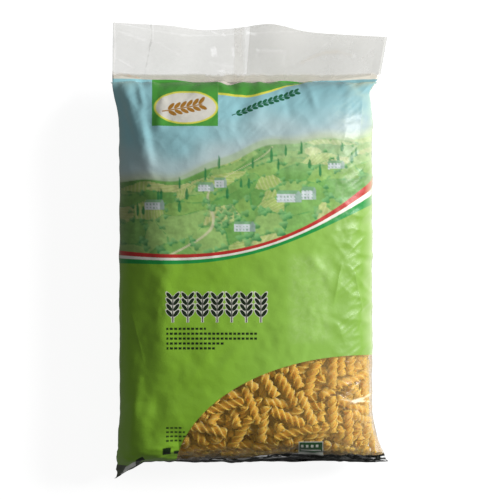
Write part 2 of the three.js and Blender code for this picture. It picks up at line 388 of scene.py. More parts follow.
@dataclass
class Grid:
    """A grid of corners over the skin, as turns and stations, with rows along the packet."""

    turn: Array
    station: Array

    def snap_to(self, value: Callable[[Array, Array], Array]) -> Array:
        """Moves the nearest corners onto the line where a value is 0.

        Args:
            value: Gives the value at turns and stations.

        Returns:
            Signs of the corners: 1, -1, or 0 on the line.
        """
        value_at = value(self.turn, self.station)
        best = np.full(value_at.shape, 2.0)
        moved_turn, moved_station = self.turn.copy(), self.station.copy()
        for axis in (0, 1):
            for step in (1, -1):
                near = np.roll(value_at, -step, axis)
                t_near = np.roll(self.turn, -step, axis)
                s_near = np.roll(self.station, -step, axis)
                crosses = value_at * near < 0
                edge = [slice(None), slice(None)]
                edge[axis] = -1 if step == 1 else 0
                crosses[tuple(edge)] = False
                share = np.where(crosses, value_at / np.where(crosses, value_at - near, 1), 2.0)
                take = crosses & (share <= 0.5) & (share < best)
                best = np.where(take, share, best)
                moved_turn = np.where(take, mixed(self.turn, t_near, share), moved_turn)
                moved_station = np.where(take, mixed(self.station, s_near, share), moved_station)
        self.turn, self.station = moved_turn, moved_station
        return np.where(best <= 0.5, 0, np.sign(value_at)).astype(int)


class Region(Enum):
    """The film's stretches, each its own mesh."""

    PRINTED_PICTURE = 0
    PRINTED_FIELD = 1
    PRINTED_BACK = 2
    CLEAR_FLAP = 3
    CLEAR_WINDOW = 4
    SEAL_BAND = 5


class MeshMaker:
    """Makes scene objects from arrays of points and faces."""

    @staticmethod
    def sheet_faces(
        rows: int, columns: int, closed: bool = False, flipped: bool = False
    ) -> list[tuple[int, ...]]:
        """Faces of a sheet of points that are numbered row by row.

        Args:
            rows: Rows of points.
            columns: Points in a row.
            closed: Whether the last column joins the first.
            flipped: Whether the faces look the other way.

        Returns:
            Corner numbers of each face.
        """
        faces = []
        for row in range(rows - 1):
            for column in range(columns if closed else columns - 1):
                low, high = row * columns, (row + 1) * columns
                beside = (column + 1) % columns
                face = (low + column, low + beside, high + beside, high + column)
                faces.append((face[0], *face[:0:-1]) if flipped else face)
        return faces

    @staticmethod
    def build(
        name: str,
        points: Array,
        faces: Sequence[Sequence[int]],
        layers: Optional[dict[str, Array]] = None,
    ) -> bpy.types.Object:
        """Builds one mesh object.

        Args:
            name: Name of the piece.
            points: Points in mm, in the frame.
            faces: Corner numbers of each face.
            layers: Colours or coordinates for each point, by name; names that end in _colour are colours.

        Returns:
            The new object, linked to the scene.
        """
        used = np.unique(np.concatenate([np.asarray(face) for face in faces]))
        renumber = np.full(len(points), -1)
        renumber[used] = np.arange(len(used))
        shape = bmesh.new()
        corners = [shape.verts.new(point) for point in (points[used] * MM).tolist()]
        for face in faces:
            ids = [renumber[i] for i in dict.fromkeys(face)]
            if len(ids) > 2:
                shape.faces.new([corners[i] for i in ids]).smooth = True
        mesh = bpy.data.meshes.new(name)
        shape.to_mesh(mesh)
        shape.free()
        for label, values in (layers or {}).items():
            if label.endswith("_colour"):
                layer = mesh.color_attributes.new(label, "FLOAT_COLOR", "POINT")
                full = np.ones((len(used), 4))
                full[:, :3] = values[used]
                layer.data.foreach_set("color", full.ravel())
            else:
                layer = mesh.attributes.new(label, "FLOAT_VECTOR", "POINT")
                layer.data.foreach_set("vector", np.ascontiguousarray(values[used]).ravel())
        made = bpy.data.objects.new(name, mesh)
        bpy.context.scene.collection.objects.link(made)
        return made


@dataclass(frozen=True)
class StripedBand:
    """Three stripes that sweep up to the right, between the picture and the plain field, in mm.

    The sums take numbers, arrays or shader quantities alike.
    """

    lowest_at: float = -72.0
    lowest: float = -4.3
    red: float = 4.8
    white: float = 8.2
    green: float = 13.4

    def top(self, across: Any) -> Any:
        """Upper edge of the band."""
        reach = across - self.lowest_at
        return reach * reach * 0.0013 + reach * reach * reach * 0.0000035 + self.lowest

    def width(self, across: Any) -> Any:
        """How much wider or narrower the band is than its full width."""
        t = (across - self.lowest_at) * 0.01
        return (((t * 0.18 - 0.2244) * t + 0.1436) * t - 0.1825) * t + 0.7297


@dataclass
class Countryside:
    """The printed picture, painted as plain fields of colour over print coordinates in mm.

    Patchwork farmland under a pale sky: crops in rows, hedges, round trees, slim cypresses,
    a winding lane and a few plain farmhouses, over a plain green field.
    """

    seed: int = 5
    sky_top: str = "#8ab9c0"
    sky_low: str = "#afc0c1"
    haze: str = "#b3be94"
    mist: str = "#c3cfb4"
    far_hill: str = "#9fb891"
    crops: tuple[str, ...] = ("#9fb766", "#84ad59", "#6da152", "#adbb74", "#90b468", "#79a858")
    row_ink: str = "#c3ca93"
    hedge: str = "#4c944f"
    tree_dark: str = "#2a7a44"
    tree_light: str = "#80b873"
    lane_ink: str = "#c9c9a2"
    wall: str = "#c9d0d4"
    wall_shade: str = "#93aaa0"
    roof: str = "#7aa67c"
    field_left: str = "#7dab2d"
    field_right: str = "#8ab550"
    field_far: str = "#7ba440"
    cell_count: int = 95
    band: StripedBand = field(default_factory=StripedBand)
    tree_count: int = 300
    cypress_count: int = 26
    houses: tuple[tuple[float, float, float, float], ...] = (
        (-98, 44, 15, 7),
        (-46, 62, 12, 6),
        (-31, 66, 9, 7.5),
        (36, 52, 19, 8),
        (57, 55, 11, 9),
        (84, 84, 13, 6),
        (-8, 22, 16, 7.5),
    )

    def colour(self, code: str) -> Array:
        """Linear colour of an ink."""
        return np.array(to_linear(code))

    def over(self, base: Array, code: str, mask: Array) -> Array:
        """Lays an ink over a picture where the mask is 1."""
        return mixed(base, self.colour(code), np.clip(mask, 0, 1)[..., None])

    def horizon(self, across: Array) -> Array:
        """Height of the skyline over the print."""
        rise = 66 + 48 * eased((across + 130) / 230)
        return rise + 3.2 * np.sin(across / 23 + 1) + 1.6 * np.sin(across / 9.5)

    def band_low(self, across: Array) -> Array:
        """Lower edge of the striped band, held level far round the sides."""
        held = np.clip(across, -150, 150)
        return self.band.top(held) - self.band.green * self.band.width(held)

    def paint(self, across: Array, along: Array) -> Array:
        """Linear colours of the print.

        Args:
            across: Print coordinate across the packet.
            along: Print coordinate along the packet.

        Returns:
            Colours with red, green and blue last.
        """
        noise = Lumps(self.seed)
        skyline = self.horizon(across)
        above = along - skyline
        cloud = 10 * noise.at(across, along * 2.4, 34)
        height = eased((above + cloud) / 46)[..., None]
        picture = mixed(self.colour(self.sky_low), self.colour(self.sky_top), height)
        # Painted light: the sky is printed lighter towards the left and darker towards the right, evening out
        # the shade of the left side and the glare on the right.
        picture = picture * mixed(1.14, 0.81, eased((across + 110) / 230))[..., None]
        picture = self.over(picture, self.haze, 0.7 * eased(1 - above / 12))
        ridge = above - 4.5 - 3 * np.sin(across / 31 + 2)
        picture = self.over(picture, self.far_hill, 0.55 * eased(0.5 - ridge / 1.5))
        land = eased(0.5 - above / 1.4)[..., None]
        picture = mixed(picture, self.farmland(across, skyline - along, noise), land)
        far = eased((across + 20) / 90) * eased(1 + above / 40)
        picture = self.over(picture, self.mist, 0.42 * far * (above < 0))
        picture = self.lane(picture, across, along)
        picture = self.trees(picture, across, along)
        picture = self.cypresses(picture, across, along)
        picture = self.farmhouses(picture, across, along)
        brush = 1 + 0.1 * noise.at(across, along * 1.5, 3.2) + 0.07 * noise.at(across * 1.3, along, 1.7)
        edge = 1 - 0.3 * eased((-80 - across) / 30) - 0.19 * eased((across - 60) / 40)
        picture = picture * np.where(above < 0, brush * edge, 1)[..., None]
        field_share = eased((across + 60) / 170)[..., None]
        plain = mixed(self.colour(self.field_left), self.colour(self.field_right), field_share)
        plain = self.over(plain, self.field_far, eased((across - 62) / 34))
        below = eased((self.band_low(across) + 3 - along) / 2)[..., None]
        return mixed(picture, plain, below)

    def cells(self, across: Array, below: Array) -> tuple[Array, Array]:
        """Patches of farmland, flatter towards the skyline.

        Args:
            across: Print coordinate across the packet.
            below: Distance below the skyline.

        Returns:
            Number of the patch at each point, and how far its edge is.
        """
        random = np.random.default_rng(self.seed)
        depth = 4.4 * 22 * np.log1p(np.clip(below, 0, None) / 14)
        best = np.full(across.shape, 1e9)
        second = best.copy()
        number = np.zeros(across.shape, int)
        for index in range(self.cell_count):
            centre = random.uniform(-150, 190), random.uniform(0, 215)
            reach = np.hypot(across - centre[0], depth - centre[1])
            second = np.minimum(second, np.maximum(best, reach))
            number = np.where(reach < best, index, number)
            best = np.minimum(best, reach)
        return number, second - best

    def farmland(self, across: Array, below: Array, noise: Lumps) -> Array:
        """Patches of crops with hedges between them."""
        bent = across + 7 * noise.at(across, below * 2, 27)
        number, edge = self.cells(bent, below)
        inks = np.array([to_linear(code) for code in self.crops])
        base = inks[(number * 7 + 3) % len(inks)]
        angle = (number * 2.4) % np.pi
        rows = np.sin((bent * np.cos(angle) + 1.6 * below * np.sin(angle)) * 1.45)
        base = self.over(base, self.row_ink, 0.55 * (number % 3 == 0) * eased(rows))
        wash = 1 + 0.13 * noise.at(across + 90, below * 1.8, 15)
        ragged = 1.7 + 1.6 * noise.at(across, below * 2, 4.5)
        return self.over(base * wash[..., None], self.hedge, 0.7 * eased((ragged - edge) / 1.6))

    def lane(self, picture: Array, across: Array, along: Array) -> Array:
        """A winding lane from the lower left up to the skyline."""
        path = across + 70 - 15 * np.sin(along / 13) - 0.75 * along
        width = 0.7 + 0.02 * np.clip(75 - along, 0, 90)
        on_land = along < self.horizon(across) - 2
        return self.over(picture, self.lane_ink, 0.85 * eased((width - np.abs(path)) / 1.2 + 0.5) * on_land)

    def trees(self, picture: Array, across: Array, along: Array) -> Array:
        """Round trees, mostly along the hedges, smaller towards the skyline."""
        random = np.random.default_rng(self.seed + 1)
        spots = np.stack([random.uniform(-150, 150, 2600), random.uniform(1, 105, 2600)])
        nearest = self.cells(spots[0], spots[1])[1]
        spots = spots[:, nearest < 3.2][:, : self.tree_count]
        for x, below in spots[:, np.argsort(spots[1])].T:
            radius = (1.2 + 0.028 * below) * random.uniform(0.75, 1.35)
            y = float(self.horizon(np.array(x))) - below
            tone = random.uniform(0.55, 1.0)
            near = (np.abs(across - x) < 2 * radius) & (np.abs(along - y) < 2 * radius)
            off_x, off_y = across[near] - x, (along[near] - y) * 1.15
            distance = np.hypot(off_x, off_y) + 0.25 * radius * np.sin(3 * np.arctan2(off_y, off_x) + x)
            mask = tone * eased((radius - distance) / 0.9 + 0.5)
            lit = eased(0.5 + 0.45 * (off_y - off_x * 0.4) / radius)[..., None]
            crown = mixed(self.colour(self.tree_dark), self.colour(self.tree_light), lit)
            picture[near] = mixed(picture[near], crown, mask[..., None])
        return picture

    def cypresses(self, picture: Array, across: Array, along: Array) -> Array:
        """Slim dark trees in loose groups along the skyline and down the slope."""
        random = np.random.default_rng(self.seed + 2)
        for number in range(self.cypress_count):
            x = -114 + 9.4 * number + random.uniform(-6, 6)
            foot = float(self.horizon(np.array(x))) - random.uniform(3, 40)
            tall, wide = random.uniform(9, 15), random.uniform(1.1, 1.7)
            share = np.clip((along - foot) / tall, 0, 1)
            half = 2.4 * wide * np.sqrt(share * (1 - share)) * (1.15 - 0.55 * share)
            inside = (share > 0) & (share < 1)
            mask = 0.9 * eased((half - np.abs(across - x)) / 0.8 + 0.4) * inside
            picture = self.over(picture, self.tree_dark, mask)
        return picture

    def farmhouses(self, picture: Array, across: Array, along: Array) -> Array:
        """Plain farmhouses: a lit wall with small windows, a shaded end and a low roof."""
        for x, y, width, height in self.houses:
            right, up = across - x, along - y
            end = 0.32 * width
            wall = (np.abs(right) < width / 2) & (np.abs(up) < height / 2)
            side = (right > width / 2) & (right < width / 2 + end) & (np.abs(up) < height / 2)
            roof_share = (up - height / 2) / (0.42 * height)
            leant = right - end * 0.5 * roof_share
            roof = (roof_share > 0) & (roof_share < 1) & (np.abs(leant) < width / 2 + 0.6)
            gable = (roof_share > 0) & (np.abs(right - width / 2 - end / 2) < end / 2 * (1 - roof_share))
            column = np.abs((right / 3.4) % 1 - 0.5) < 0.17
            storey = np.abs(((up + height / 2) / 3.3) % 1 - 0.55) < 0.2
            picture = self.over(picture, self.wall, 0.92 * wall)
            picture = self.over(picture, self.wall_shade, 0.92 * (side | gable))
            picture = self.over(picture, self.roof, 0.95 * roof)
            picture = self.over(picture, self.tree_dark, 0.6 * (wall & column & storey))
        return picture


Links = Optional[dict[Any, Any]]


def add_node(tree: bpy.types.NodeTree, kind: str, settings: Links = None, links: Links = None) -> Any:
    """Adds a node with its settings, values and links.

    Args:
        tree: Node tree that gets the node.
        kind: Blender's name of the node type.
        settings: Properties of the node.
        links: Sockets by name or number: another socket to link, or a value to set.

    Returns:
        The new node.
    """
    node = tree.nodes.new(kind)
    for name, value in (settings or {}).items():
        setattr(node, name, value)
    for name, value in (links or {}).items():
        socket = node.inputs[name]
        if isinstance(value, bpy.types.NodeSocket):
            tree.links.new(value, socket)
        else:
            socket.default_value = value
    return node


def blank_material(name: str) -> bpy.types.Material:
    """A new material with an empty node tree."""
    material = bpy.data.materials.new(name)
    material.use_nodes = True
    material.node_tree.nodes.clear()
    return material


class Quantity:
    """A number that varies over a surface, with plain arithmetic between quantities."""

    def __init__(self, tree: bpy.types.NodeTree, value: Any) -> None:
        """Keeps the tree and a socket or a number."""
        self.tree = tree
        self.value = value

    def act(self, operation: str, *others: Any, clamp: bool = False) -> "Quantity":
        """Result of one arithmetic operation with other quantities or numbers."""
        values = [self.value] + [o.value if isinstance(o, Quantity) else o for o in others]
        settings = {"operation": operation, "use_clamp": clamp}
        node = add_node(self.tree, "ShaderNodeMath", settings, dict(enumerate(values)))
        return Quantity(self.tree, node.outputs[0])

    def __add__(self, other: Any) -> "Quantity":
        """Sum."""
        return self.act("ADD", other)

    def __sub__(self, other: Any) -> "Quantity":
        """Difference."""
        return self.act("SUBTRACT", other)

    def __mul__(self, other: Any) -> "Quantity":
        """Product."""
        return self.act("MULTIPLY", other)

    def __abs__(self) -> "Quantity":
        """Size without sign."""
        return self.act("ABSOLUTE")

    def held(self) -> "Quantity":
        """The quantity, held between 0 and 1."""
        return self.act("ADD", 0.0, clamp=True)

    def over(self, limit: Any, soft: float = EDGE_MM) -> "Quantity":
        """Mask that is 1 where the quantity is above a limit, with a soft edge in mm."""
        return ((self - limit) * (0.5 / soft) + 0.5).held()

    def under(self, limit: Any, soft: float = EDGE_MM) -> "Quantity":
        """Mask that is 1 where the quantity is below a limit, with a soft edge in mm."""
        return ((self - limit) * (-0.5 / soft) + 0.5).held()


class Printing:
    """Layers crisp printed shapes over a colour, in print coordinates."""

    def __init__(self, tree: bpy.types.NodeTree, base: Any) -> None:
        """Reads the print coordinates and starts from a base: a socket, or a colour set as it is."""
        self.tree = tree
        self.place = add_node(tree, "ShaderNodeAttribute", {"attribute_name": "print_mm"}).outputs["Vector"]
        parts = add_node(tree, "ShaderNodeSeparateXYZ", None, {0: self.place})
        self.across = Quantity(tree, parts.outputs["X"])
        self.along = Quantity(tree, parts.outputs["Y"])
        self.colour = base

    def ink(self, code: str, mask: Quantity) -> None:
        """Prints one ink where the mask is 1."""
        links = {"Fac": mask.value, "Color1": self.colour, "Color2": (*to_linear(code), 1.0)}
        self.colour = add_node(self.tree, "ShaderNodeMixRGB", None, links).outputs[0]

    def box(self, left: float, right: float, low: float, high: float, soft: float = EDGE_MM) -> Quantity:
        """Mask of an upright rectangle."""
        wide = abs(self.across - (left + right) / 2).under((right - left) / 2, soft)
        return wide * abs(self.along - (low + high) / 2).under((high - low) / 2, soft)

    def oval(self, centre: tuple[float, float], half: tuple[float, float], soft: float = EDGE_MM) -> Quantity:
        """Mask of an upright ellipse."""
        across = (self.across - centre[0]) * (1 / half[0])
        along = (self.along - centre[1]) * (1 / half[1])
        reach = (across * across + along * along).act("SQRT")
        return (reach * min(half)).under(min(half), soft)

    def patch(self, corners: Sequence[tuple[float, float]], soft: float = 0.4) -> Quantity:
        """Mask of a convex patch, with its corners given clockwise."""
        mask: Any = None
        for (x, y), (next_x, next_y) in zip(corners, [*corners[1:], corners[0]]):
            length = math.hypot(next_x - x, next_y - y)
            out_x, out_y = (next_y - y) / length, -(next_x - x) / length
            inside = self.across * out_x + self.along * out_y - (x * out_x + y * out_y)
            mask = inside.over(0.0, soft) if mask is None else mask * inside.over(0.0, soft)
        return mask

    def along_line(self, start: tuple[float, float], end: tuple[float, float]) -> tuple[Quantity, Quantity]:
        """Distances along a line and away from it."""
        length = math.hypot(end[0] - start[0], end[1] - start[1])
        x, y = (end[0] - start[0]) / length, (end[1] - start[1]) / length
        from_x, from_y = self.across - start[0], self.along - start[1]
        return from_x * x + from_y * y, abs(from_x * -y + from_y * x)

    @staticmethod
    def grains(on: Quantity, out: Quantity, count: int, half: float, pitch: float, grow: float) -> Quantity:
        """Mask of an ear of grain: pairs of slanted grains along a stalk.

        Args:
            on: Distance along the stalk, from its foot.
            out: Distance from the stalk.
            count: Pairs of grains.
            half: How far the grains reach to each side.
            pitch: Distance between pairs of grains.
            grow: Extra outline round every grain.

        Returns:
            The mask.
        """
        slant = on - out * 0.85
        within = slant.over(0.0) * slant.under(count * pitch)
        cell = (slant - pitch / 2).act("WRAP", pitch / 2, -pitch / 2) * (1 / (0.44 * pitch + grow))
        side = (out - 0.52 * half) * (1 / (0.46 * half + grow))
        grain = (cell * cell + side * side).act("SQRT").under(1, 0.1) * within
        stalk = out.under(0.05 * half + 0.25 + grow) * on.over(-0.6 * pitch) * on.under(count * pitch)
        return grain.act("MAXIMUM", stalk)


@dataclass(frozen=True)
class PrintedFilm:
    """Oriented polypropylene film, reverse printed and laminated: smooth, tight and glossy.

    The eye sees clean inks under a clear skin, with soft highlights that break up on creases.
    A pale sheen is painted into the inks: a milky highlight over two patches on the right, and glare on the
    steep sides.
    """

    name: str = "printed polypropylene film"
    roughness: float = 0.42
    ior: float = 1.49
    crinkle_mm: float = 5.0
    band_red: str = "#b02a26"
    band_white: str = "#dcd9d0"
    band_green: str = "#16893c"
    arc_green: str = "#4a973b"
    arc_rim: str = "#d6d252"
    plaque: str = "#d6d3c9"
    dark_ink: str = "#0f2109"
    leaf_ink: str = "#1b5a3c"
    grain_ink: str = "#a2722c"
    fold_glint: str = "#eceeea"
    painted_sheen: str = "#e6f0cc"
    panel: tuple[float, ...] = (-98, -32, 124, 200)
    arc_right: float = 62.0
    arc_rim_width: float = 2.2
    plaque_middle: tuple[float, float] = (-64, 142.5)
    plaque_half: tuple[float, float] = (30, 14.8)
    plaque_rim_half: tuple[float, float] = (32, 16.5)
    grain_stalk: tuple[tuple[float, float], ...] = ((-84, 139), (-43, 147))
    leaf_stalk: tuple[tuple[float, float], ...] = ((-15, 136), (52, 160))
    heading_left: float = -84.0
    heading_foot: float = -69.0
    heading_pitch: float = 14.6
    heading_ears: int = 7
    note_left: float = -83.0
    note_rights: tuple[float, ...] = (-44, 7, 7, -26, -35)
    note_top: float = -78.8
    note_step: float = 4.9
    note_half: float = 1.15
    low_note_top: float = -178.0
    low_note_step: float = 4.2
    low_note_half: float = 0.9
    low_blocks: tuple[tuple[float, ...], ...] = ((-87, -79, -204.5, -197.5), (-76, -64, -204.5, -200.5))

    def make(self) -> bpy.types.Material:
        """Builds the material with its printed shapes."""
        material = blank_material(self.name)
        tree = material.node_tree
        base = add_node(tree, "ShaderNodeAttribute", {"attribute_name": "print_colour"})
        sheet = Printing(tree, base.outputs["Color"])
        self.print_band(sheet)
        self.print_emblem(sheet)
        self.print_heading(sheet)
        self.print_notes(sheet)
        self.print_ear(sheet)
        noise = add_node(
            tree,
            "ShaderNodeTexNoise",
            None,
            {"Vector": sheet.place, "Scale": 1 / self.crinkle_mm, "Detail": 3.0, "Distortion": 0.6},
        )
        patchy = ((Quantity(tree, noise.outputs[0]) - 0.38) * 3).held()
        # Painted highlight: a milky sheen over two loose patches on the right, where the film faces the lamp.
        loose = sheet.box(40, 80, -92, -6, 4.0) * (patchy * 0.6 + 0.4)
        loose = loose + sheet.box(84, 112, 20, 150, 8.0) * patchy
        sheet.ink(self.painted_sheen, loose.act("MINIMUM", 1.0) * 0.1)
        # Painted sheen: where the steep sides are seen edge-on the inks pale towards white, more on the right
        # side.
        facing = add_node(tree, "ShaderNodeLayerWeight", None, {"Blend": 0.5}).outputs["Facing"]
        sheen = ((Quantity(tree, facing) - 0.26) * 2.2).held()
        sides = sheet.across.over(102.0, 8.0) * 0.5 + sheet.across.under(-116.0, 6.0) * 0.14
        sheet.ink(self.painted_sheen, sheen * sides)
        bump = add_node(
            tree, "ShaderNodeBump", None, {"Strength": 0.25, "Distance": 0.0006, "Height": noise.outputs[0]}
        )
        shader = add_node(
            tree,
            "ShaderNodeBsdfPrincipled",
            None,
            {
                "Base Color": sheet.colour,
                "Roughness": self.roughness,
                "IOR": self.ior,
                "Specular IOR Level": 0.3,
                "Coat Weight": 0.05,
                "Coat Roughness": 0.12,
                "Normal": bump.outputs[0],
            },
        )
        add_node(tree, "ShaderNodeOutputMaterial", None, {"Surface": shader.outputs[0]})
        return material

    def print_band(self, sheet: Printing) -> None:
        """Prints the striped band."""
        band = StripedBand()
        held = sheet.across.act("MAXIMUM", -150.0).act("MINIMUM", 150.0)
        down = band.top(held) - sheet.along
        wide = band.width(held)
        for code, start, end in (
            (self.band_green, band.white, band.green),
            (self.band_white, band.red, band.white),
            (self.band_red, 0.0, band.red),
        ):
            sheet.ink(code, (down - wide * start).over(0.0) * (down - wide * end).under(0.0))

    def print_emblem(self, sheet: Printing) -> None:
        """Green band with a yellow rim along the top, and a plaque with an ear of grain."""
        from_middle = sheet.across - 5
        beyond = (from_middle - 5).act("SMOOTH_MAX", 0.0, 14.0)
        arc_low = from_middle * from_middle * 0.0016 + beyond * 0.37 + 153.2
        right = sheet.across.over(self.panel[1]) * sheet.across.under(self.arc_right)
        sheet.ink(self.arc_rim, (sheet.along - arc_low).over(0.0) * right)
        sheet.ink(self.arc_green, (sheet.along - arc_low).over(self.arc_rim_width) * right)
        sheet.ink(self.arc_green, sheet.box(*self.panel))
        sheet.ink(self.arc_rim, sheet.oval(self.plaque_middle, self.plaque_rim_half))
        sheet.ink(self.plaque, sheet.oval(self.plaque_middle, self.plaque_half))
        for code, stalk, count, half, pitch in (
            (self.grain_ink, self.grain_stalk, 6, 6.5, 6.2),
            (self.leaf_ink, self.leaf_stalk, 12, 3.4, 5.6),
        ):
            on, out = sheet.along_line(*stalk)
            sheet.ink(code, Printing.grains(on, out, count, half, pitch, 0.0))

    def print_heading(self, sheet: Printing) -> None:
        """A row of upright ears of grain in dark ink with a pale edge."""
        left, half = self.heading_left, self.heading_pitch / 2
        cell = abs((sheet.across - (left + half)).act("WRAP", half, -half))
        row = sheet.across.over(left) * sheet.across.under(left + self.heading_ears * self.heading_pitch)
        on = sheet.along - self.heading_foot
        for code, grow in ((self.plaque, 0.7), (self.dark_ink, 0.0)):
            sheet.ink(code, Printing.grains(on, cell, 4, 6.4, 5.8, grow) * row)

    def print_notes(self, sheet: Printing) -> None:
        """Rows of short dashes where small print would stand."""
        dash = sheet.across.act("WRAP", 4.2, 0.0).under(3.0, 0.4)
        for number, right in enumerate(self.note_rights):
            level, half = self.note_top - self.note_step * number, self.note_half
            mask = sheet.box(self.note_left, right, level - half, level + half)
            sheet.ink(self.dark_ink, mask * dash)
        for number in range(4):
            level, half = self.low_note_top - self.low_note_step * number, self.low_note_half
            mask = sheet.box(-85 + number % 2, -67 + 2 * number, level - half, level + half)
            sheet.ink(self.dark_ink, mask * dash * 0.9)
        for block in self.low_blocks:
            sheet.ink(self.dark_ink, sheet.box(*block, 0.6))

    def print_ear(self, sheet: Printing) -> None:
        """Dark print wrapped round the lower left corner, with a pale stripe across the fold painted as its
        glint.
        """
        for code, corners in (
            (self.dark_ink, ((-138, -214), (-123, -214.5), (-128, -240), (-142, -240))),
            # painted highlight: the pale stripe stands for the glint on the fold
            (self.fold_glint, ((-124, -216), (-107, -208), (-112, -217.5), (-129, -225))),
            (self.dark_ink, ((-113.5, -209), (-107, -206), (-104, -210), (-114, -219))),
        ):
            sheet.ink(code, sheet.patch(corners))


@dataclass(frozen=True)
class PrintedPlate:
    """The small plate over the window's low edge: pale rim, dark green ground, pale squares over a bar."""

    rim: str = "#b9bdb2"
    ground: str = "#1c4a20"
    mark: str = "#cdd0c6"
    left: float = 48.5
    right: float = 73.5
    top: float = -191.5
    low: float = -208.0
    ground_low: float = -204.0
    rim_width: float = 1.0
    inset: float = 2.5
    square_pitch: float = 5.0

    def print_on(self, sheet: Printing) -> Quantity:
        """Prints the plate.

        Args:
            sheet: The print that gets the plate.

        Returns:
            Mask of the whole plate.
        """
        plate = sheet.box(self.left, self.right, self.low, self.top, 0.5)
        ground_left, ground_right = self.left + self.rim_width, self.right - self.rim_width
        ground = sheet.box(ground_left, ground_right, self.ground_low, self.top - self.rim_width, 0.4)
        left, right = self.left + self.inset, self.right - self.inset
        share = ((sheet.across - left) * (1 / self.square_pitch)).act("FRACT")
        squares = share.under(0.5, 0.06) * sheet.box(left, right, self.top - 6.5, self.top - 3.7)
        bar = sheet.box(left, right, self.top - 10.3, self.top - 9.1)
        sheet.ink(self.rim, plate)
        sheet.ink(self.ground, ground)
        sheet.ink(self.mark, squares.act("MAXIMUM", bar))
        return plate


@dataclass(frozen=True)
class Crease:
    """A pressed crease or glint in clear film.

    A strength above 0 adds haze in the crease's ink. Below 0 it clears the film, so that white shows
    through.
    """

    start: tuple[float, float]
    end: tuple[float, float]
    width: float
    strength: float
    soft: float = 0.7
    ink: Optional[str] = None


@dataclass(frozen=True)
class ClearFilm:
    """Clear cast polypropylene film, heat sealed and slightly hazy from handling.

    The eye sees straight through it, with a thin milky veil, small bright glints on its creases,
    and where it is labelled a small printed plate. The glints are painted into the veil, and over the
    window a painted sheen thickens it towards the right and where the film is seen edge-on.
    """

    name: str
    veil: str
    haze: float
    cloud: float
    crease: float
    crease_mm: float
    roughness: float = 0.18
    ior: float = 1.5
    bump_mm: float = 0.5
    cloud_mm: float = 34.0
    crease_wander: float = 4.0
    coat: float = 0.8
    lean: float = 0.0
    is_window: bool = False
    lit_veil: str = "#e8c284"
    sheen_veil: str = "#eee2cc"
    milky_below: Optional[float] = None
    milk: str = "#dcd6c8"
    creases: tuple[Crease, ...] = ()

    def make(self) -> bpy.types.Material:
        """Builds the material."""
        material = blank_material(self.name)
        tree = material.node_tree
        sheet = Printing(tree, (*to_linear(self.veil), 1.0))
        settings = {"Vector": sheet.place, "Scale": 1 / self.crease_mm, "Detail": 2.5, "Distortion": 1.2}
        fine = Quantity(tree, add_node(tree, "ShaderNodeTexNoise", None, settings).outputs[0])
        settings = {"Vector": sheet.place, "Scale": 1 / self.cloud_mm, "Detail": 1.0}
        broad = Quantity(tree, add_node(tree, "ShaderNodeTexNoise", None, settings).outputs[0])
        ridge = (abs(fine - 0.5) * -16 + 1.0).held()
        cloudy = ((broad - 0.42) * 4).held()
        if self.is_window:
            # Painted sheen: towards the right the window's veil thickens over the film's own haze, and its
            # crease glints gather there.
            nearer_right = ((sheet.across - 20) * 0.011).held()
            low = ((sheet.along + 188) * -0.09).held()
            cloudy = cloudy * (nearer_right + low * 0.6) + nearer_right * 0.5
            ridge = ridge * (nearer_right * nearer_right + low * 0.7 + 0.12).act("MINIMUM", 1.0)
        haze = cloudy * self.cloud + ridge * self.crease + self.haze + sheet.across * self.lean
        bump = add_node(
            tree,
            "ShaderNodeBump",
            None,
            {"Strength": 0.6, "Distance": self.bump_mm * MM, "Height": fine.value},
        )
        if self.is_window:
            facing = add_node(tree, "ShaderNodeLayerWeight", None, {"Blend": 0.5}).outputs["Facing"]
            sheen = ((Quantity(tree, facing) - 0.3) * 1.8).held()
            # Painted sheen: the warm lit veil towards the right, and a pale veil where the film is seen
            # edge-on.
            sheet.ink(self.lit_veil, nearer_right)
            sheet.ink(self.sheen_veil, sheen)
            haze = (haze + sheen * (low * -0.25 + 0.4)).act("MAXIMUM", PrintedPlate().print_on(sheet))
        for crease in self.creases:
            on, out = sheet.along_line(crease.start, crease.end)
            length = math.dist(crease.start, crease.end)
            wavy = out + (fine - 0.5) * self.crease_wander
            mask = wavy.under(crease.width / 2, crease.soft) * on.over(0.0, 2.0) * on.under(length, 2.0)
            if crease.ink:
                sheet.ink(crease.ink, mask * min(1.0, 2.5 * crease.strength))
            haze = (haze + mask * crease.strength).act("MAXIMUM", 0.01)
        if self.milky_below:
            milky = sheet.along.under(self.milky_below, 1.5)
            sheet.ink(self.milk, milky)
            haze = haze.act("MAXIMUM", milky * 0.95)
        shader = add_node(
            tree,
            "ShaderNodeBsdfPrincipled",
            None,
            {
                "Base Color": sheet.colour,
                "Roughness": self.roughness,
                "IOR": self.ior,
                "Coat Weight": self.coat,
                "Coat Roughness": 0.08,
                "Alpha": haze.value,
                "Normal": bump.outputs[0],
            },
        )
        add_node(tree, "ShaderNodeOutputMaterial", None, {"Surface": shader.outputs[0]})
        return material


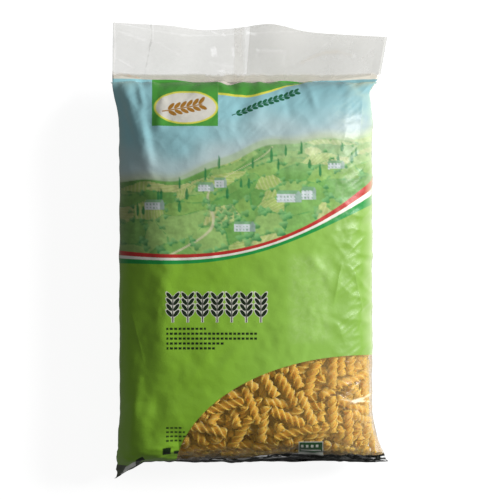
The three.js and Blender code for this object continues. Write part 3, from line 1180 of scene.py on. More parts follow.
@dataclass(frozen=True)
class SealFilm:
    """Solid-ink polypropylene film, heat sealed and crumpled, over the end seal.

    The eye sees a near-black green with short grey and white glints painted on the crumpled film,
    most where it turns up into view, and glowing a little.
    """

    name: str = "dark green sealed polypropylene film"
    ink: str = "#0a0e05"
    glint: str = "#6d726d"
    shine: str = "#f8faf8"
    crumple_mm: float = 5.0
    streak_mm: float = 2.6
    streak_stretch: float = 0.22
    upturned_edge: float = -214.0
    glint_glow: float = 0.3
    roughness: float = 0.5

    def make(self) -> bpy.types.Material:
        """Builds the material."""
        material = blank_material(self.name)
        tree = material.node_tree
        sheet = Printing(tree, (*to_linear(self.ink), 1.0))
        settings = {"Vector": sheet.place, "Scale": 1 / self.crumple_mm, "Detail": 3.0, "Distortion": 1.5}
        noise = Quantity(tree, add_node(tree, "ShaderNodeTexNoise", None, settings).outputs[0])
        crumple_glint = (abs(noise - 0.5) * -22 + 1.0).held()
        upturned = sheet.along.over(self.upturned_edge, 3.0)
        # Painted glints: grey ink on the crumple ridges, strongest where the band turns up into view.
        sheet.ink(self.glint, crumple_glint * (upturned * 0.3 + 0.1))
        stretch = (self.streak_stretch, 1.0, 1.0)
        drawn = add_node(tree, "ShaderNodeMapping", None, {0: sheet.place, "Scale": stretch})
        settings = {"Vector": drawn.outputs[0], "Scale": 1 / self.streak_mm, "Detail": 2.0, "Distortion": 0.8}
        streak = Quantity(tree, add_node(tree, "ShaderNodeTexNoise", None, settings).outputs[0])
        turned = sheet.across.over(-96, 6.0) * sheet.across.under(-8, 10.0)
        turned = turned + sheet.across.over(8, 6.0) * sheet.across.under(42, 8.0) * 0.7
        turned = turned + sheet.across.over(122, 3.0)
        glint_streaks = ((streak - 0.53) * 14).held()
        turned = turned * sheet.across.under(139, 3.0)
        glint_streaks = glint_streaks * (turned * 0.9 + 0.1) * (upturned * 0.96 + 0.04)
        # Painted highlights: white streaks, which also glow a little through the emission below.
        sheet.ink(self.shine, glint_streaks)
        glow = add_node(tree, "ShaderNodeCombineXYZ", None, dict.fromkeys(range(3), glint_streaks.value)).outputs[0]
        PrintedPlate().print_on(sheet)
        bump = add_node(
            tree, "ShaderNodeBump", None, {"Strength": 1.0, "Distance": 0.0022, "Height": noise.value}
        )
        shader = add_node(
            tree,
            "ShaderNodeBsdfPrincipled",
            None,
            {
                "Base Color": sheet.colour,
                "Roughness": self.roughness,
                "Specular IOR Level": 0.15,
                "Emission Color": glow,
                "Emission Strength": self.glint_glow,
                "Normal": bump.outputs[0],
            },
        )
        add_node(tree, "ShaderNodeOutputMaterial", None, {"Surface": shader.outputs[0]})
        return material


@dataclass(frozen=True)
class DryPasta:
    """Durum wheat pasta, extruded through bronze and dried: warm, matt and faintly see-through.

    The eye sees a golden body with a fine rough grain. The fin crests are painted paler, as a highlight,
    and the valleys between them a little darker, as shade.
    """

    name: str = "dried durum wheat pasta"
    body: str = "#d9ac42"
    pale: str = "#e0bc64"
    valley_shade: str = "#d2a140"
    grain_mm: float = 0.7
    roughness: float = 0.6

    def make(self) -> bpy.types.Material:
        """Builds the material."""
        material = blank_material(self.name)
        tree = material.node_tree
        place = add_node(tree, "ShaderNodeAttribute", {"attribute_name": "pasta_mm"})
        parts = add_node(tree, "ShaderNodeSeparateXYZ", None, {0: place.outputs["Vector"]})
        tone = Quantity(tree, parts.outputs["Y"])
        fin = Quantity(tree, parts.outputs["Z"])
        coordinates = add_node(tree, "ShaderNodeTexCoord")
        grain = add_node(
            tree,
            "ShaderNodeTexNoise",
            None,
            {"Vector": coordinates.outputs["Object"], "Scale": 1 / (self.grain_mm * MM), "Detail": 2.0},
        )
        # Painted highlight and shade: colour runs from the darker valleys to the paler fin crests, with each
        # piece's own tone.
        ramp = add_node(tree, "ShaderNodeValToRGB", None, {0: (tone * 0.5 + fin * 0.4 + 0.04).value})
        stops = ramp.color_ramp.elements
        stops[0].position, stops[0].color = 0.0, (*to_linear(self.valley_shade), 1.0)
        stops[1].position, stops[1].color = 1.0, (*to_linear(self.pale), 1.0)
        stops.new(0.5).color = (*to_linear(self.body), 1.0)
        bump = add_node(
            tree, "ShaderNodeBump", None, {"Strength": 0.25, "Distance": 0.0003, "Height": grain.outputs[0]}
        )
        shader = add_node(
            tree,
            "ShaderNodeBsdfPrincipled",
            None,
            {
                "Base Color": ramp.outputs[0],
                "Roughness": self.roughness,
                "Specular IOR Level": 0.3,
                "Subsurface Weight": 1.0,
                "Subsurface Radius": (1.0, 0.93, 0.7),
                "Subsurface Scale": 0.006,
                "Normal": bump.outputs[0],
            },
        )
        add_node(tree, "ShaderNodeOutputMaterial", None, {"Surface": shader.outputs[0]})
        return material


@dataclass
class FilmPacket:
    """The film: its grid, print coordinates, relief, and one mesh for each stretch."""

    form: PacketForm
    view: Viewpoint
    window: WindowShape
    relief: FilmRelief
    scenery: Countryside
    front_columns: int = 336
    back_columns: int = 96
    flap_rows: int = 38
    picture_step: float = 0.9
    field_step: float = 1.4
    picture_low: float = -20.0
    steep_share: float = 0.6
    print_top: float = 172.0
    band_low_left: float = -211.0

    def grid(self) -> Grid:
        """Corners spaced along the skin, finer under the picture, open along the middle of the back."""
        fine = np.linspace(self.form.flap_base, self.form.end_seal, 4000)
        profile = self.form.skin(np.array(0.25), fine)
        steps = np.linalg.norm(np.diff(profile, axis=0), axis=1)
        steps = steps / np.where(fine[1:] > self.picture_low, self.picture_step, self.field_step)
        reach = np.concatenate([[0], np.cumsum(steps)])
        body = np.interp(np.linspace(0, reach[-1], int(reach[-1]) + 1), reach, fine)
        flap = np.linspace(self.form.flap_edge, self.form.flap_base, self.flap_rows + 1)
        stations = np.concatenate([flap[:-1], body])
        half_back = self.back_columns // 2
        blocks = []
        spans = ((-0.25, 0.0, half_back), (0.0, 0.5, self.front_columns), (0.5, 0.75, half_back))
        for start, stop, count in spans:
            turns = np.linspace(start, stop, 700)
            points = self.form.skin(turns[None, :], stations[:, None])
            steps = np.linalg.norm(np.diff(points, axis=1), axis=2)
            reach = np.concatenate([np.zeros((len(stations), 1)), np.cumsum(steps, axis=1)], axis=1)
            goal = np.linspace(0, 1, count + 1)[: None if stop == 0.75 else -1]
            blocks.append(np.stack([np.interp(goal * r[-1], r, turns) for r in reach]))
        turn = np.concatenate(blocks, axis=1)
        return Grid(turn, np.repeat(stations[:, None], turn.shape[1], axis=1))

    def print_coordinates(self, points: Array) -> tuple[Array, Array]:
        """Coordinates of the print over the skin, as laid flat where the skin is steep.

        Args:
            points: The smooth skin's points, row by row.

        Returns:
            Coordinates across and along the packet.
        """
        seen_x, seen_y = self.view.spread(points)
        centre = self.back_columns // 2 + self.front_columns // 2
        run = np.linalg.norm(np.diff(points, axis=1), axis=2) * self.steep_share
        steps = np.maximum(np.abs(np.diff(seen_x, axis=1)), run)
        across = seen_x.copy()
        across[:, centre + 1 :] = seen_x[:, [centre]] - np.cumsum(steps[:, centre:], axis=1)
        across[:, :centre] = seen_x[:, [centre]] + np.cumsum(steps[:, :centre][:, ::-1], axis=1)[:, ::-1]
        middle = int(np.argmin(np.abs(points[:, centre, 1])))
        run = np.linalg.norm(np.diff(points, axis=0), axis=2) * self.steep_share
        steps = np.maximum(np.abs(np.diff(seen_y, axis=0)), run)
        along = seen_y.copy()
        along[middle + 1 :] = seen_y[[middle]] - np.cumsum(steps[middle:], axis=0)
        along[:middle] = seen_y[[middle]] + np.cumsum(steps[:middle][::-1], axis=0)[::-1]
        return across, along

    def normals(self, points: Array) -> Array:
        """Outward normals of a grid of points."""
        normal = np.cross(np.gradient(points, axis=1), np.gradient(points, axis=0))
        return normal / np.maximum(np.linalg.norm(normal, axis=2, keepdims=True), 1e-9)

    def print_top_value(self, turn: Array, station: Array) -> Array:
        """Above 0 where the film is clear at the flap."""
        x = self.form.skin(turn, station)[..., 0]
        ragged = 1.2 * np.sin(x / 17) + 0.7 * np.sin(x / 6.1 + 2)
        return station - self.print_top + 5.0 * bell(x + 5, 85) - ragged * bell(x, 90)

    def band_value(self, turn: Array, station: Array) -> Array:
        """Above 0 where the film carries the dark seal band."""
        x = self.form.skin(turn, station)[..., 0]
        low = mixed(self.window.low_line(x), self.band_low_left, eased((-72 - x) / 14))
        return low - station

    def window_value(self, turn: Array, station: Array) -> Array:
        """Above 0 where the film is the clear window."""
        return self.window.inside(self.form.skin(turn, station), self.form.middle(station))

    def field_value(self, turn: Array, station: Array) -> Array:
        """Above 0 under the striped band, where the print is the plain field."""
        across, along = self.view.spread(self.form.skin(turn, station))
        return self.scenery.band_low(across) - 1.5 - along

    def build(self) -> dict[Region, bpy.types.Object]:
        """Cuts the film along its edges and builds a mesh for each stretch.

        Returns:
            The objects, by region.
        """
        grid = self.grid()
        cuts = {
            Region.CLEAR_FLAP: grid.snap_to(self.print_top_value),
            Region.SEAL_BAND: grid.snap_to(self.band_value),
            Region.CLEAR_WINDOW: grid.snap_to(self.window_value),
            Region.PRINTED_FIELD: grid.snap_to(self.field_value),
        }
        smooth = self.form.skin(grid.turn, grid.station)
        for end in (0, -1):
            opposite = self.form.skin(-grid.turn[end], grid.station[end])
            smooth[end] = (smooth[end] + opposite) / 2
        across, along = self.print_coordinates(smooth)
        height = self.relief.heights(across, along, smooth)
        points = smooth + self.normals(smooth) * height[..., None] + np.array(self.form.shift)
        points[..., 2] += self.relief.raised(across, along, smooth)
        rows, columns = grid.turn.shape
        number = np.arange(rows * columns).reshape(rows, columns)
        layers = {
            "print_mm": np.stack([across, along, np.zeros_like(across)], axis=-1).reshape(-1, 3),
            "print_colour": self.scenery.paint(across, along).reshape(-1, 3),
        }
        half = self.back_columns // 2
        front = np.zeros((rows - 1, columns - 1), bool)
        front[:, half : half + self.front_columns] = True
        faces = self.sort_faces(number, cuts, front)
        flat = points.reshape(-1, 3)
        return {
            region: MeshMaker.build(region.name.lower(), flat, region_faces, layers)
            for region, region_faces in faces.items()
        }

    @staticmethod
    def cell_corners(values: Array) -> Array:
        """Values at the four corners of every grid cell, cell by cell."""
        around = (values[:-1, :-1], values[:-1, 1:], values[1:, 1:], values[1:, :-1])
        return np.stack(around, axis=-1).reshape(-1, 4)

    def sort_faces(
        self, number: Array, cuts: dict[Region, Array], front: Array
    ) -> dict[Region, list[tuple[int, ...]]]:
        """Puts each grid cell, split where an edge crosses it, in its region's list.

        Args:
            number: Point numbers over the grid.
            cuts: Signs over the grid for the edge of each region.
            front: Which cells are on the front.

        Returns:
            Faces by region.
        """
        faces: dict[Region, list[tuple[int, ...]]] = {region: [] for region in Region}
        numbers = self.cell_corners(number)
        signs = {region: self.cell_corners(sign) for region, sign in cuts.items()}
        is_front = front.reshape(-1)
        crossed = np.zeros(len(numbers), int)
        for sign in signs.values():
            splits = (sign.min(1) < 0) & (sign.max(1) > 0)
            crossed = np.where(splits, np.where((sign[:, 0] == 0) & (sign[:, 2] == 0), 1, 2), crossed)
        pieces = {0: [(0, 1, 2, 3)], 1: [(0, 1, 2), (0, 2, 3)], 2: [(1, 2, 3), (1, 3, 0)]}
        for kind, shapes in pieces.items():
            cells = np.flatnonzero(crossed == kind)
            for shape in shapes:
                home = np.where(is_front[cells], Region.PRINTED_PICTURE.value, Region.PRINTED_BACK.value)
                field_side = signs[Region.PRINTED_FIELD][cells][:, shape].sum(1) > 0
                home = np.where(field_side & is_front[cells], Region.PRINTED_FIELD.value, home)
                for region in (Region.CLEAR_WINDOW, Region.SEAL_BAND, Region.CLEAR_FLAP):
                    home = np.where(signs[region][cells][:, shape].sum(1) > 0, region.value, home)
                corners = numbers[cells][:, shape[::-1]]
                for region in Region:
                    faces[region] += [tuple(face) for face in corners[home == region.value].tolist()]
        return faces


@dataclass
class PastaHeap:
    """Loose twisted pasta behind the window, over a dark core."""

    form: PacketForm
    window: WindowShape
    seed: int = 23
    length: float = 37.5
    radius: float = 5.5
    waist: float = 3.15
    fins: int = 3
    fin_sharpness: float = 1.9
    fin_lean: float = 0.75
    turns: float = 1.6
    rings: tuple[int, ...] = (30, 28, 16)
    section_points: tuple[int, ...] = (21, 21, 12)
    layer_counts: tuple[int, ...] = (44, 62, 88)
    layer_step: float = 7.5
    seed_tries: int = 9000
    tilt: float = 0.42
    hold_radius: float = 4.1
    film_gap: float = 6.2
    surface_gap: float = 1.3
    most_held: float = 4.0
    most_pressed: float = 9.0
    end_start: float = -186.0
    end_gap: float = 1.5
    dent_gap: float = 2.5
    dent_across: float = 44.0
    rounds: int = 45
    outer_drift: float = 0.15
    inner_drift: float = 0.0
    core_depth: float = 19.0

    def window_seeds(self, count: int, random: np.random.Generator, depth: float) -> tuple[Array, Array]:
        """Spreads pieces evenly behind the window.

        Args:
            count: How many pieces.
            random: Source of random numbers.
            depth: Depth of their middles under the film.

        Returns:
            Middles, and directions in the film's plane.
        """
        turn = random.uniform(-0.03, 0.43, self.seed_tries)
        station = random.uniform(self.window.low_edge - 1, -96, self.seed_tries)
        points = self.form.skin(turn, station, depth)
        ahead = self.form.skin(turn, station + 0.5, depth) - points
        aside = self.form.skin(turn + 0.002, station, depth) - points
        good = self.window.inside(self.form.skin(turn, station), self.form.middle(station)) > -9
        points, ahead, aside = points[good], ahead[good], aside[good]
        picked = [0]
        gap = np.linalg.norm(points - points[0], axis=1)
        while len(picked) < count:
            best = int(np.argmax(gap * random.uniform(0.8, 1.0, len(gap))))
            picked.append(best)
            gap = np.minimum(gap, np.linalg.norm(points - points[best], axis=1))
        points, ahead, aside = points[picked], ahead[picked], aside[picked]
        ahead /= np.linalg.norm(ahead, axis=1, keepdims=True)
        aside /= np.linalg.norm(aside, axis=1, keepdims=True)
        heading = random.uniform(0, np.pi, count)[:, None]
        tilt = random.normal(0, self.tilt, (count, 3))
        axis = np.cos(heading) * ahead + np.sin(heading) * aside + tilt
        return points, axis / np.linalg.norm(axis, axis=1, keepdims=True)

    def fill_share(self, points: Array) -> Array:
        """How far out points lie: 0 at the packet's middle line, 1 on the film."""
        station = np.clip(points[:, 1], self.form.end_seal + 1, 0)
        left, right = self.form.edges(station)
        middle = self.form.middle(station)
        full = self.form.fullness(station)
        power = mixed(self.form.end_roundness, self.form.body_roundness, full)
        rise = np.maximum(1, full * (self.form.front_height - middle))
        x = np.abs(points[:, 0] - (left + right) / 2) / ((right - left) / 2)
        z = np.clip(points[:, 2] - middle, 0, None) / rise
        return (x**power + z**power) ** (1 / power)

    def room(self, points: Array) -> tuple[Array, Array, Array]:
        """Room between points and the film.

        Args:
            points: Points in the heap.

        Returns:
            Distance to the film in mm, the slope of the share filled, and how steep it is.
        """
        share = self.fill_share(points)
        slope = np.stack([self.fill_share(points + step) - share for step in np.eye(3) * 0.5], axis=1) / 0.5
        steep = np.maximum(np.linalg.norm(slope, axis=1), 1e-4)
        return (1 - share) / steep, slope, steep

    def hold_inside(self, points: Array, gap: float) -> Array:
        """Moves points that are too near the film back in.

        Args:
            points: Points to hold.
            gap: Least distance from the film.

        Returns:
            The held points.
        """
        room, slope, steep = self.room(points)
        move = np.clip(gap - room, 0, self.most_held)[:, None] * slope / steep[:, None]
        held = points - move
        held[:, 1] = np.clip(held[:, 1], self.window.low_edge + 1, -92)
        held[:, 2] = np.maximum(held[:, 2], self.window.side_limit - 4)
        return held

    def settle(self, middles: Array, axes: Array) -> Array:
        """Pushes pieces apart and up against the film until they barely touch.

        Args:
            middles: Middles of the pieces.
            axes: Their directions.

        Returns:
            Both ends of every piece.
        """
        half = self.length / 2 - self.hold_radius
        ends = np.stack([middles - half * axes, middles + half * axes], axis=1)
        drift = np.full((len(ends), 1, 1), self.inner_drift)
        drift[: self.layer_counts[0]] = self.outer_drift
        for _ in range(self.rounds):
            a, d = ends[:, 0], ends[:, 1] - ends[:, 0]
            gap = a[:, None] - a[None]
            aa = np.einsum("ij,ij->i", d, d)[:, None]
            bb = np.einsum("ij,kj->ik", d, d)
            c = np.einsum("ij,ikj->ik", d, gap)
            f = np.einsum("kj,ikj->ik", d, gap)
            denominator = np.maximum(aa * aa.T - bb * bb, 1e-9)
            s = np.clip((bb * f - c * aa.T) / denominator, 0, 1)
            t = np.clip((bb * s + f) / aa.T, 0, 1)
            s = np.clip((bb * t - c) / aa, 0, 1)
            apart = gap + s[..., None] * d[:, None] - t[..., None] * d[None]
            distance = np.linalg.norm(apart, axis=2) + np.eye(len(ends)) * 1e3
            push = np.clip(2 * self.hold_radius - distance, 0, None)[..., None]
            move = 0.4 * push * apart / np.maximum(distance, 1e-6)[..., None]
            ends[:, 0] += ((1 - s)[..., None] * move).sum(1)
            ends[:, 1] += (s[..., None] * move).sum(1)
            outward = ends.mean(1) - np.array([0.0, -150.0, self.form.side_height - 25])
            outward[:, 1] = np.minimum(0, outward[:, 1] + 20)
            outward /= np.linalg.norm(outward, axis=1, keepdims=True)
            ends += drift * outward[:, None]
            flat = self.hold_inside(ends.reshape(-1, 3), self.film_gap)
            ends = flat.reshape(-1, 2, 3)
            middle = self.hold_inside(ends.mean(1), self.film_gap)
            axis = ends[:, 1] - ends[:, 0]
            axis /= np.linalg.norm(axis, axis=1, keepdims=True)
            ends = np.stack([middle - half * axis, middle + half * axis], axis=1)
        return ends

    def piece(
        self, start: Array, end: Array, layer: int, random: np.random.Generator
    ) -> tuple[Array, list[tuple[int, ...]], Array]:
        """One twisted piece between two points.

        Args:
            start: Middle of one end.
            end: Middle of the other end.
            layer: Which layer it lies in, which sets how fine its mesh is.
            random: Source of random numbers.

        Returns:
            Points, faces, and shading coordinates for each point.
        """
        axis = (end - start) / np.linalg.norm(end - start)
        side = np.cross(axis, (0.31, 0.77, 0.55))
        side /= np.linalg.norm(side)
        other = np.cross(axis, side)
        reach = self.length * random.uniform(0.93, 1.05)
        rings, n = self.rings[layer], self.section_points[layer]
        along = np.linspace(-0.5, 0.5, rings)[:, None]
        angle = np.linspace(0, 2 * np.pi, n, endpoint=False)[None]
        lobe = (0.5 + 0.5 * np.cos(self.fins * angle)) ** self.fin_sharpness
        flare = 1 + 0.06 * np.sin(2 * np.pi * along * 1.7 + random.uniform(0, 6))
        radius = (self.waist + (self.radius - self.waist) * lobe) * flare
        twist = 2 * np.pi * self.turns * along * random.uniform(0.94, 1.08) + random.uniform(0, 6.28)
        bend = random.normal(0, 0.9) * (1 - 4 * along**2)
        lag = self.fin_lean * lobe
        u = radius * np.cos(angle + twist + lag) + bend
        v = radius * np.sin(angle + twist + lag)
        centre = (start + end) / 2
        run = (along * reach + 0 * u)[..., None]
        points = centre + run * axis + u[..., None] * side + v[..., None] * other
        tone = random.uniform(0, 1)
        shade = np.stack(np.broadcast_arrays(along + 0 * u, tone, lobe + 0 * u), axis=-1)
        tips = ((-0.5, bend[0, 0]), (0.5, bend[-1, 0]))
        caps = np.stack([centre + a * reach * axis + b * side for a, b in tips])
        cap_shade = np.array([[0, tone, 0.3], [0, tone, 0.3]])
        faces = MeshMaker.sheet_faces(rings, n, closed=True)
        last = rings * n
        faces += [(last, (k + 1) % n, k) for k in range(n)]
        top = (rings - 1) * n
        faces += [(last + 1, top + k, top + (k + 1) % n) for k in range(n)]
        return (
            np.concatenate([points.reshape(-1, 3), caps]),
            faces,
            np.concatenate([shade.reshape(-1, 3), cap_shade]),
        )

    def build_pieces(self) -> bpy.types.Object:
        """All the loose pieces as one mesh."""
        random = np.random.default_rng(self.seed)
        layers = [
            self.window_seeds(count, random, self.film_gap + 0.5 + self.layer_step * number)
            for number, count in enumerate(self.layer_counts)
        ]
        ends = self.settle(*(np.concatenate(parts) for parts in zip(*layers)))
        reach = float(self.fill_share(ends.reshape(-1, 3)).max())
        LOG.info("pasta reaches %.2f of the way to the film", reach)
        points, faces, shades, count = [], [], [], 0
        layer_of = np.repeat(np.arange(len(self.layer_counts)), self.layer_counts)
        for (start, end), layer in zip(ends, layer_of):
            piece_points, piece_faces, piece_shade = self.piece(start, end, layer, random)
            points.append(piece_points)
            shades.append(piece_shade)
            faces += [tuple(i + count for i in face) for face in piece_faces]
            count += len(piece_points)
        all_points = self.press_in(np.concatenate(points)) + np.array(self.form.shift)
        return MeshMaker.build("twisted_pasta", all_points, faces, {"pasta_mm": np.concatenate(shades)})

    def press_in(self, points: Array) -> Array:
        """Presses what stands out of the film back under it, as the tight film does."""
        room, slope, steep = self.room(points)
        sunk = np.maximum(bell(points[:, 0] - self.dent_across, 36), eased((points[:, 0] - 76) / 20))
        extra = self.end_gap + self.dent_gap * sunk
        gap = self.surface_gap + extra * eased((self.end_start - points[:, 1]) / 14)
        move = np.clip(gap - room, 0, self.most_pressed)[:, None] * slope / steep[:, None]
        pressed = points - move
        pressed[:, 1] = np.maximum(pressed[:, 1], self.window.low_edge - 3)
        station = np.clip(pressed[:, 1], self.form.end_seal + 1, 0)
        pressed[:, 2] = np.maximum(pressed[:, 2], self.window.side_low(self.form.middle(station)) + 1.0)
        return pressed

    def build_core(self) -> bpy.types.Object:
        """The pasta further in, as a smooth sheet in dark brown: painted shade, seen only as dark shapes
        between the loose pieces.
        """
        lumps = Lumps(self.seed)
        turn = np.linspace(-0.035, 0.45, 110)[None]
        station = np.linspace(-94, self.window.low_edge - 1.5, 60)[:, None]
        depth = self.core_depth + 1.8 * lumps.at(turn * 600, station + 0 * turn, 6)
        points = self.form.skin(turn, station, depth)
        keep = self.window.inside(self.form.skin(turn, station), self.form.middle(station)) > -11
        kept = keep.reshape(-1)
        faces = MeshMaker.sheet_faces(*points.shape[:2], flipped=True)
        faces = [face for face in faces if kept[face[0]] and kept[face[2]]]
        flat = points.reshape(-1, 3) + np.array(self.form.shift)
        shade = np.zeros(flat.shape)
        return MeshMaker.build("pasta_core", flat, faces, {"pasta_mm": shade})


@dataclass
class BackSeam:
    """The fin seal down the middle of the back, folded flat, and showing through the clear flap."""

    form: PacketForm
    left: float = -16.0
    right: float = -5.0
    rows: int = 150

    def build(self) -> bpy.types.Object:
        """A thin strip just outside the back of the film."""
        station = np.linspace(self.form.flap_edge - 0.4, self.form.end_seal + 6, self.rows)
        columns = np.linspace(self.left, self.right, 5)
        points, layer = [], []
        for y in station:
            turn = 0.75 + 0.004 * (columns - self.left) / (self.right - self.left)
            skin = self.form.skin(turn, np.array(y))
            full = float(self.form.fullness(np.array(y)))
            height = skin[:, 2] - 0.35 if full < 0.05 else np.maximum(0.05, skin[:, 2] - 0.35)
            points.append(np.stack([columns, skin[:, 1], height], axis=-1))
            layer.append(np.stack([columns + 400, np.full(5, y), np.zeros(5)], axis=-1))
        faces = MeshMaker.sheet_faces(len(station), len(columns))
        flat = np.concatenate(points) + np.array(self.form.shift)
        return MeshMaker.build("back_seam", flat, faces, {"print_mm": np.concatenate(layer)})


@dataclass
class Studio:
    """Pale floor, low soft light from the right, and the camera straight above."""

    view: Viewpoint
    form: PacketForm
    floor_shade: str = "#8c8c8c"
    floor_half: float = 6.0
    floor_drop: float = 0.0004
    glow: float = 0.9
    key_place: tuple[float, float, float] = (2.15, 0.75, 1.36)
    key_size: float = 1.1
    key_power: float = 106.0
    fill_place: tuple[float, float, float] = (-0.6, 0.9, 2.4)
    fill_size: float = 1.6
    fill_power: float = 4.0
    ambient: float = 0.158

    def build(self) -> None:
        """Adds floor, lights, surroundings and camera."""
        self.table()
        self.lamp("key", self.key_place, self.key_size, self.key_power)
        self.lamp("fill", self.fill_place, self.fill_size, self.fill_power)
        self.surroundings()
        self.camera()

    def table(self) -> None:
        """Adds the pale floor, which glows a little and throws no colour on the packet."""
        half = self.floor_half
        corners = [(-half, -half, 0), (half, -half, 0), (half, half, 0), (-half, half, 0)]
        mesh = bpy.data.meshes.new("floor")
        mesh.from_pydata(corners, [], [(0, 1, 2, 3)])
        floor = bpy.data.objects.new("floor", mesh)
        bpy.context.scene.collection.objects.link(floor)
        floor.location.z = -self.floor_drop
        floor.visible_diffuse = False
        floor.visible_glossy = False
        material = bpy.data.materials.new("backlit white acrylic table")
        material.use_nodes = True
        shader = material.node_tree.nodes["Principled BSDF"]
        shader.inputs["Base Color"].default_value = (*to_linear(self.floor_shade), 1.0)
        shader.inputs["Roughness"].default_value = 0.9
        shader.inputs["Specular IOR Level"].default_value = 0.0
        shader.inputs["Emission Color"].default_value = (1, 1, 1, 1)
        shader.inputs["Emission Strength"].default_value = self.glow
        mesh.materials.append(material)

    def surroundings(self) -> None:
        """Adds the even white light from all round."""
        world = bpy.data.worlds.new("studio")
        world.use_nodes = True
        back = world.node_tree.nodes["Background"]
        back.inputs["Color"].default_value = (1, 1, 1, 1)
        back.inputs["Strength"].default_value = self.ambient
        bpy.context.scene.world = world
        bpy.context.scene.view_settings.view_transform = "Standard"

    def camera(self) -> None:
        """Adds the camera, straight above the packet."""
        camera = bpy.data.objects.new("camera", bpy.data.cameras.new("camera"))
        bpy.context.scene.collection.objects.link(camera)
        distance = self.view.height - self.view.sharp_height
        camera.data.sensor_width = 36.0
        camera.data.lens = camera.data.sensor_width * distance / self.view.picture_width
        camera.data.clip_end = 50.0
        camera.location = (self.form.shift[0] * MM, self.form.shift[1] * MM, self.view.height * MM)
        bpy.context.scene.camera = camera

    def lamp(self, name: str, place: tuple[float, float, float], size: float, power: float) -> None:
        """Adds one square soft light aimed at the packet."""
        data = bpy.data.lights.new(name, "AREA")
        data.size = size
        data.energy = power
        lamp = bpy.data.objects.new(name, data)
        bpy.context.scene.collection.objects.link(lamp)
        lamp.location = place
        aim = Vector((0, 0, 0.05)) - Vector(place)
        lamp.rotation_euler = aim.to_track_quat("-Z", "Y").to_euler()


def crease_lines() -> tuple[Fold, ...]:
    """The folds that show on the front, from the shoulder and along both sides."""
    return (
        Fold((-126, 166), (-100, 74), 8.0, 3.2),
        Fold((-134, 160), (-112, 100), 5.0, -2.0),
        Fold((-112, 168), (-106, 140), 3.5, 1.3),
        Fold((-110, 142), (-98, 86), 4.0, 1.5),
        Fold((-86, 160), (-92, 112), 6.0, 1.0),
        Fold((12, 162), (4, 118), 7.0, 1.3),
        Fold((-4, 160), (-14, 124), 7.0, -1.3),
        Fold((34, 160), (40, 132), 5.0, -1.2),
        Fold((60, 160), (66, 140), 4.0, 1.4),
        Fold((100, 160), (94, 122), 4.0, 0.7),
        Fold((112, 150), (109, 112), 1.6, 0.8, True),
        Fold((96, 118), (88, 96), 2.4, 0.8, True),
        Fold((-108, -108), (-120, -200), 4.0, 0.7),
        Fold((-118, -64), (-106, -112), 1.6, 0.5, True),
        Fold((-127, -30), (-129, -120), 1.6, 0.5, True),
        Fold((-85, 16), (-87, -124), 14.0, 3.5),
        Fold((-88, -130), (-100, -196), 7.0, -1.0),
        Fold((92, -12), (84, -52), 2.2, 0.9, True),
        Fold((104, -20), (112, -60), 2.0, 0.8, True),
        Fold((60, -6), (80, -30), 5.0, 0.8),
        Fold((-30, -120), (-8, -96), 6.0, 0.8),
    )


def window_pinch_glint() -> tuple[Crease, ...]:
    """The pinch in the clear film at the window's right edge, tapering inwards, with its glint painted in
    pale inks.
    """
    return (
        Crease((103, -151.5), (112, -149.5), 3.2, 0.85, 0.9, "#f3e6cb"),
        Crease((110, -150), (121.5, -143.5), 1.7, 0.7, 0.8, "#f0dcb2"),
        Crease((110, -151.5), (119.5, -151), 1.4, 0.6, 0.8, "#fbe9c4"),
        Crease((90, -149), (104, -151.5), 1.2, 0.35, 0.9, "#f3e3bf"),
    )


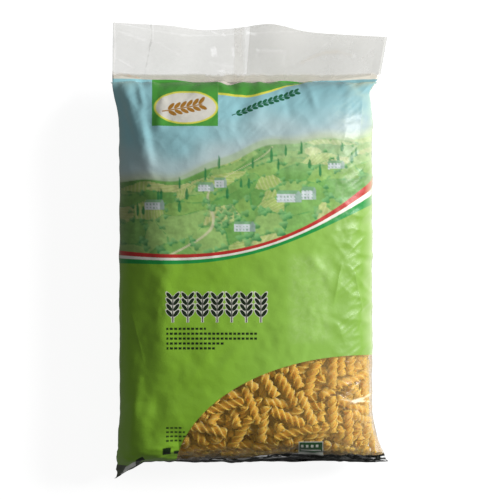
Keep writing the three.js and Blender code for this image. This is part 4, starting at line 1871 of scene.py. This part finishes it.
def flap_creases() -> tuple[Crease, ...]:
    """Creases and painted glints on the flap: gusset fold, seal lines, seam, label and handling marks."""
    grey, warm, brown = "#8c8d88", "#cdb592", "#b9793a"
    return (
        # Painted shade and highlight: grey lines down the gusset fold with a cleared line beside them;
        # strengths below 0 clear the film into painted glints.
        Crease((-99, 239), (-98.5, 221), 0.9, 0.2, ink=grey),
        Crease((-98.5, 221), (-101.5, 205), 0.9, 0.22, ink=grey),
        Crease((-101.5, 205), (-106, 181), 0.9, 0.18, ink=grey),
        Crease((-96.5, 239), (-97, 219), 1.6, -0.1),
        Crease((-130, 232), (-60, 228), 1.2, -0.1),
        Crease((-60, 228), (10, 232), 1.2, -0.1),
        Crease((10, 232), (64, 233), 1.2, -0.08),
        Crease((-135, 224), (-104, 219), 1.6, -0.1, 1.2),
        Crease((-94, 219), (-70, 208), 1.6, -0.1, 1.2),
        Crease((-139, 226), (-140, 196), 2.0, -0.12),
        Crease((-37, 217), (-35, 209), 6.0, -0.3, 0.9),
        Crease((-16.8, 217), (-16.4, 207), 2.0, -0.28),
        Crease((-32, 194), (-26, 193), 2.2, -0.28),
        Crease((-27, 230), (-25.5, 229), 2.4, -0.25),
        Crease((-38, 233), (-33, 231), 2.0, -0.2),
        Crease((-4, 233), (6, 230), 1.6, -0.2),
        Crease((-40, 202), (-14, 197), 2.0, -0.08, 1.5),
        Crease((-11.5, 238), (-11.5, 180), 9.0, 0.05, 1.5, warm),
        Crease((-3.5, 238), (-3.5, 180), 4.0, -0.06, 1.5),
        Crease((7, 215), (35, 213), 2.0, -0.14, 1.0),
        Crease((6.5, 216), (9, 213), 3.0, -0.25),
        Crease((7, 214), (7.5, 198), 1.4, -0.06, 1.0),
        Crease((35, 213), (34, 203), 1.8, -0.1, 1.0),
        Crease((34, 203), (35, 198), 2.2, -0.14, 1.0),
        Crease((50, 200), (72, 209), 3.0, 0.1, 1.6, warm),
        Crease((72, 209), (88, 209), 3.0, 0.1, 1.6, warm),
        Crease((88, 209), (102, 203), 2.4, 0.08, 1.6, warm),
        Crease((103, 203), (105, 202), 2.4, -0.3),
        Crease((72, 216), (86, 224), 1.4, -0.1),
        Crease((-62, 183), (30, 181), 5.0, 0.08, 2.5, warm),
        Crease((-140, 181), (-112, 180.5), 2.4, 0.16, 1.2, warm),
        Crease((-122, 181), (-118, 180.5), 1.6, 0.45, ink=brown),
        Crease((-115, 180), (-111, 180.5), 1.4, 0.35, ink=brown),
        Crease((-100, 180), (-92, 180.5), 1.4, 0.3, ink=brown),
        Crease((-132, 196), (-118, 190), 1.4, -0.12, 1.0),
    )


def loose_parts() -> tuple[Fold, ...]:
    """Broad parts of the front where the film stands up: the lower left corner."""
    return (Fold((-114, -152), (-111, -205), 17.0, 4.5), Fold((-70, -205), (-136, -212), 15.0, 18.0))


def dress(piece: bpy.types.Object, material: bpy.types.Material, slot: str, nodes: Sequence[str]) -> None:
    """Gives a piece its finish and its place in the frame.

    Args:
        piece: The object.
        material: Its material.
        slot: Material slot of the record.
        nodes: Solids that the piece stands for.
    """
    piece.data.materials.clear()
    piece.data.materials.append(material)
    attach(piece, "root")
    if nodes:
        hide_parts(*nodes)
    LOG.info("%s: %d faces, slot %s", piece.name, len(piece.data.polygons), slot)


def main() -> None:
    """Builds the film, the pasta and the studio in order."""
    logging.basicConfig(level=logging.INFO, format="%(name)s %(message)s")
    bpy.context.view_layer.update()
    form, view, window = PacketForm(), Viewpoint(), WindowShape()
    scenery = Countryside()
    film = FilmPacket(form, view, window, FilmRelief(folds=crease_lines(), lifts=loose_parts()), scenery)
    stretches = film.build()
    printed = PrintedFilm().make()
    for region in (Region.PRINTED_PICTURE, Region.PRINTED_FIELD, Region.PRINTED_BACK):
        dress(stretches[region], printed, "printed_film", ["film_bag"])
    flap_film = ClearFilm(
        "clear polypropylene film of the flap",
        veil="#bcbbb3",
        haze=0.33,
        cloud=0.04,
        crease=0.02,
        crease_mm=12.0,
        bump_mm=0.25,
        roughness=0.3,
        coat=0.2,
        lean=0.0005,
        milky_below=180.5,
        creases=flap_creases(),
    )
    dress(stretches[Region.CLEAR_FLAP], flap_film.make(), "clear_film", ["film_bag"])
    seam_film = ClearFilm(
        "clear polypropylene film of the back seam",
        veil="#b4b4ac",
        haze=0.08,
        cloud=0.03,
        crease=0.05,
        crease_mm=12.0,
    )
    dress(BackSeam(form).build(), seam_film.make(), "clear_film", ["film_bag"])
    window_film = ClearFilm(
        "clear polypropylene film over the window",
        veil="#cba252",
        haze=0.15,
        cloud=0.08,
        crease=0.22,
        crease_mm=8.0,
        coat=0.4,
        is_window=True,
        creases=window_pinch_glint(),
    )
    dress(stretches[Region.CLEAR_WINDOW], window_film.make(), "clear_film", ["film_bag"])
    dress(stretches[Region.SEAL_BAND], SealFilm().make(), "seal_band", ["film_bag"])
    heap = PastaHeap(form, window)
    dress(heap.build_pieces(), DryPasta().make(), "pasta", ["fusilli"])
    # The core's dark browns are painted shade for the pasta further in.
    shaded = "#8a5f38"
    inner = DryPasta(name="shaded durum wheat pasta", body=shaded, pale=shaded, valley_shade="#704a2c")
    dress(heap.build_core(), inner.make(), "pasta", ["fusilli"])
    Studio(view, form).build()


if __name__ == "__main__":
    main()
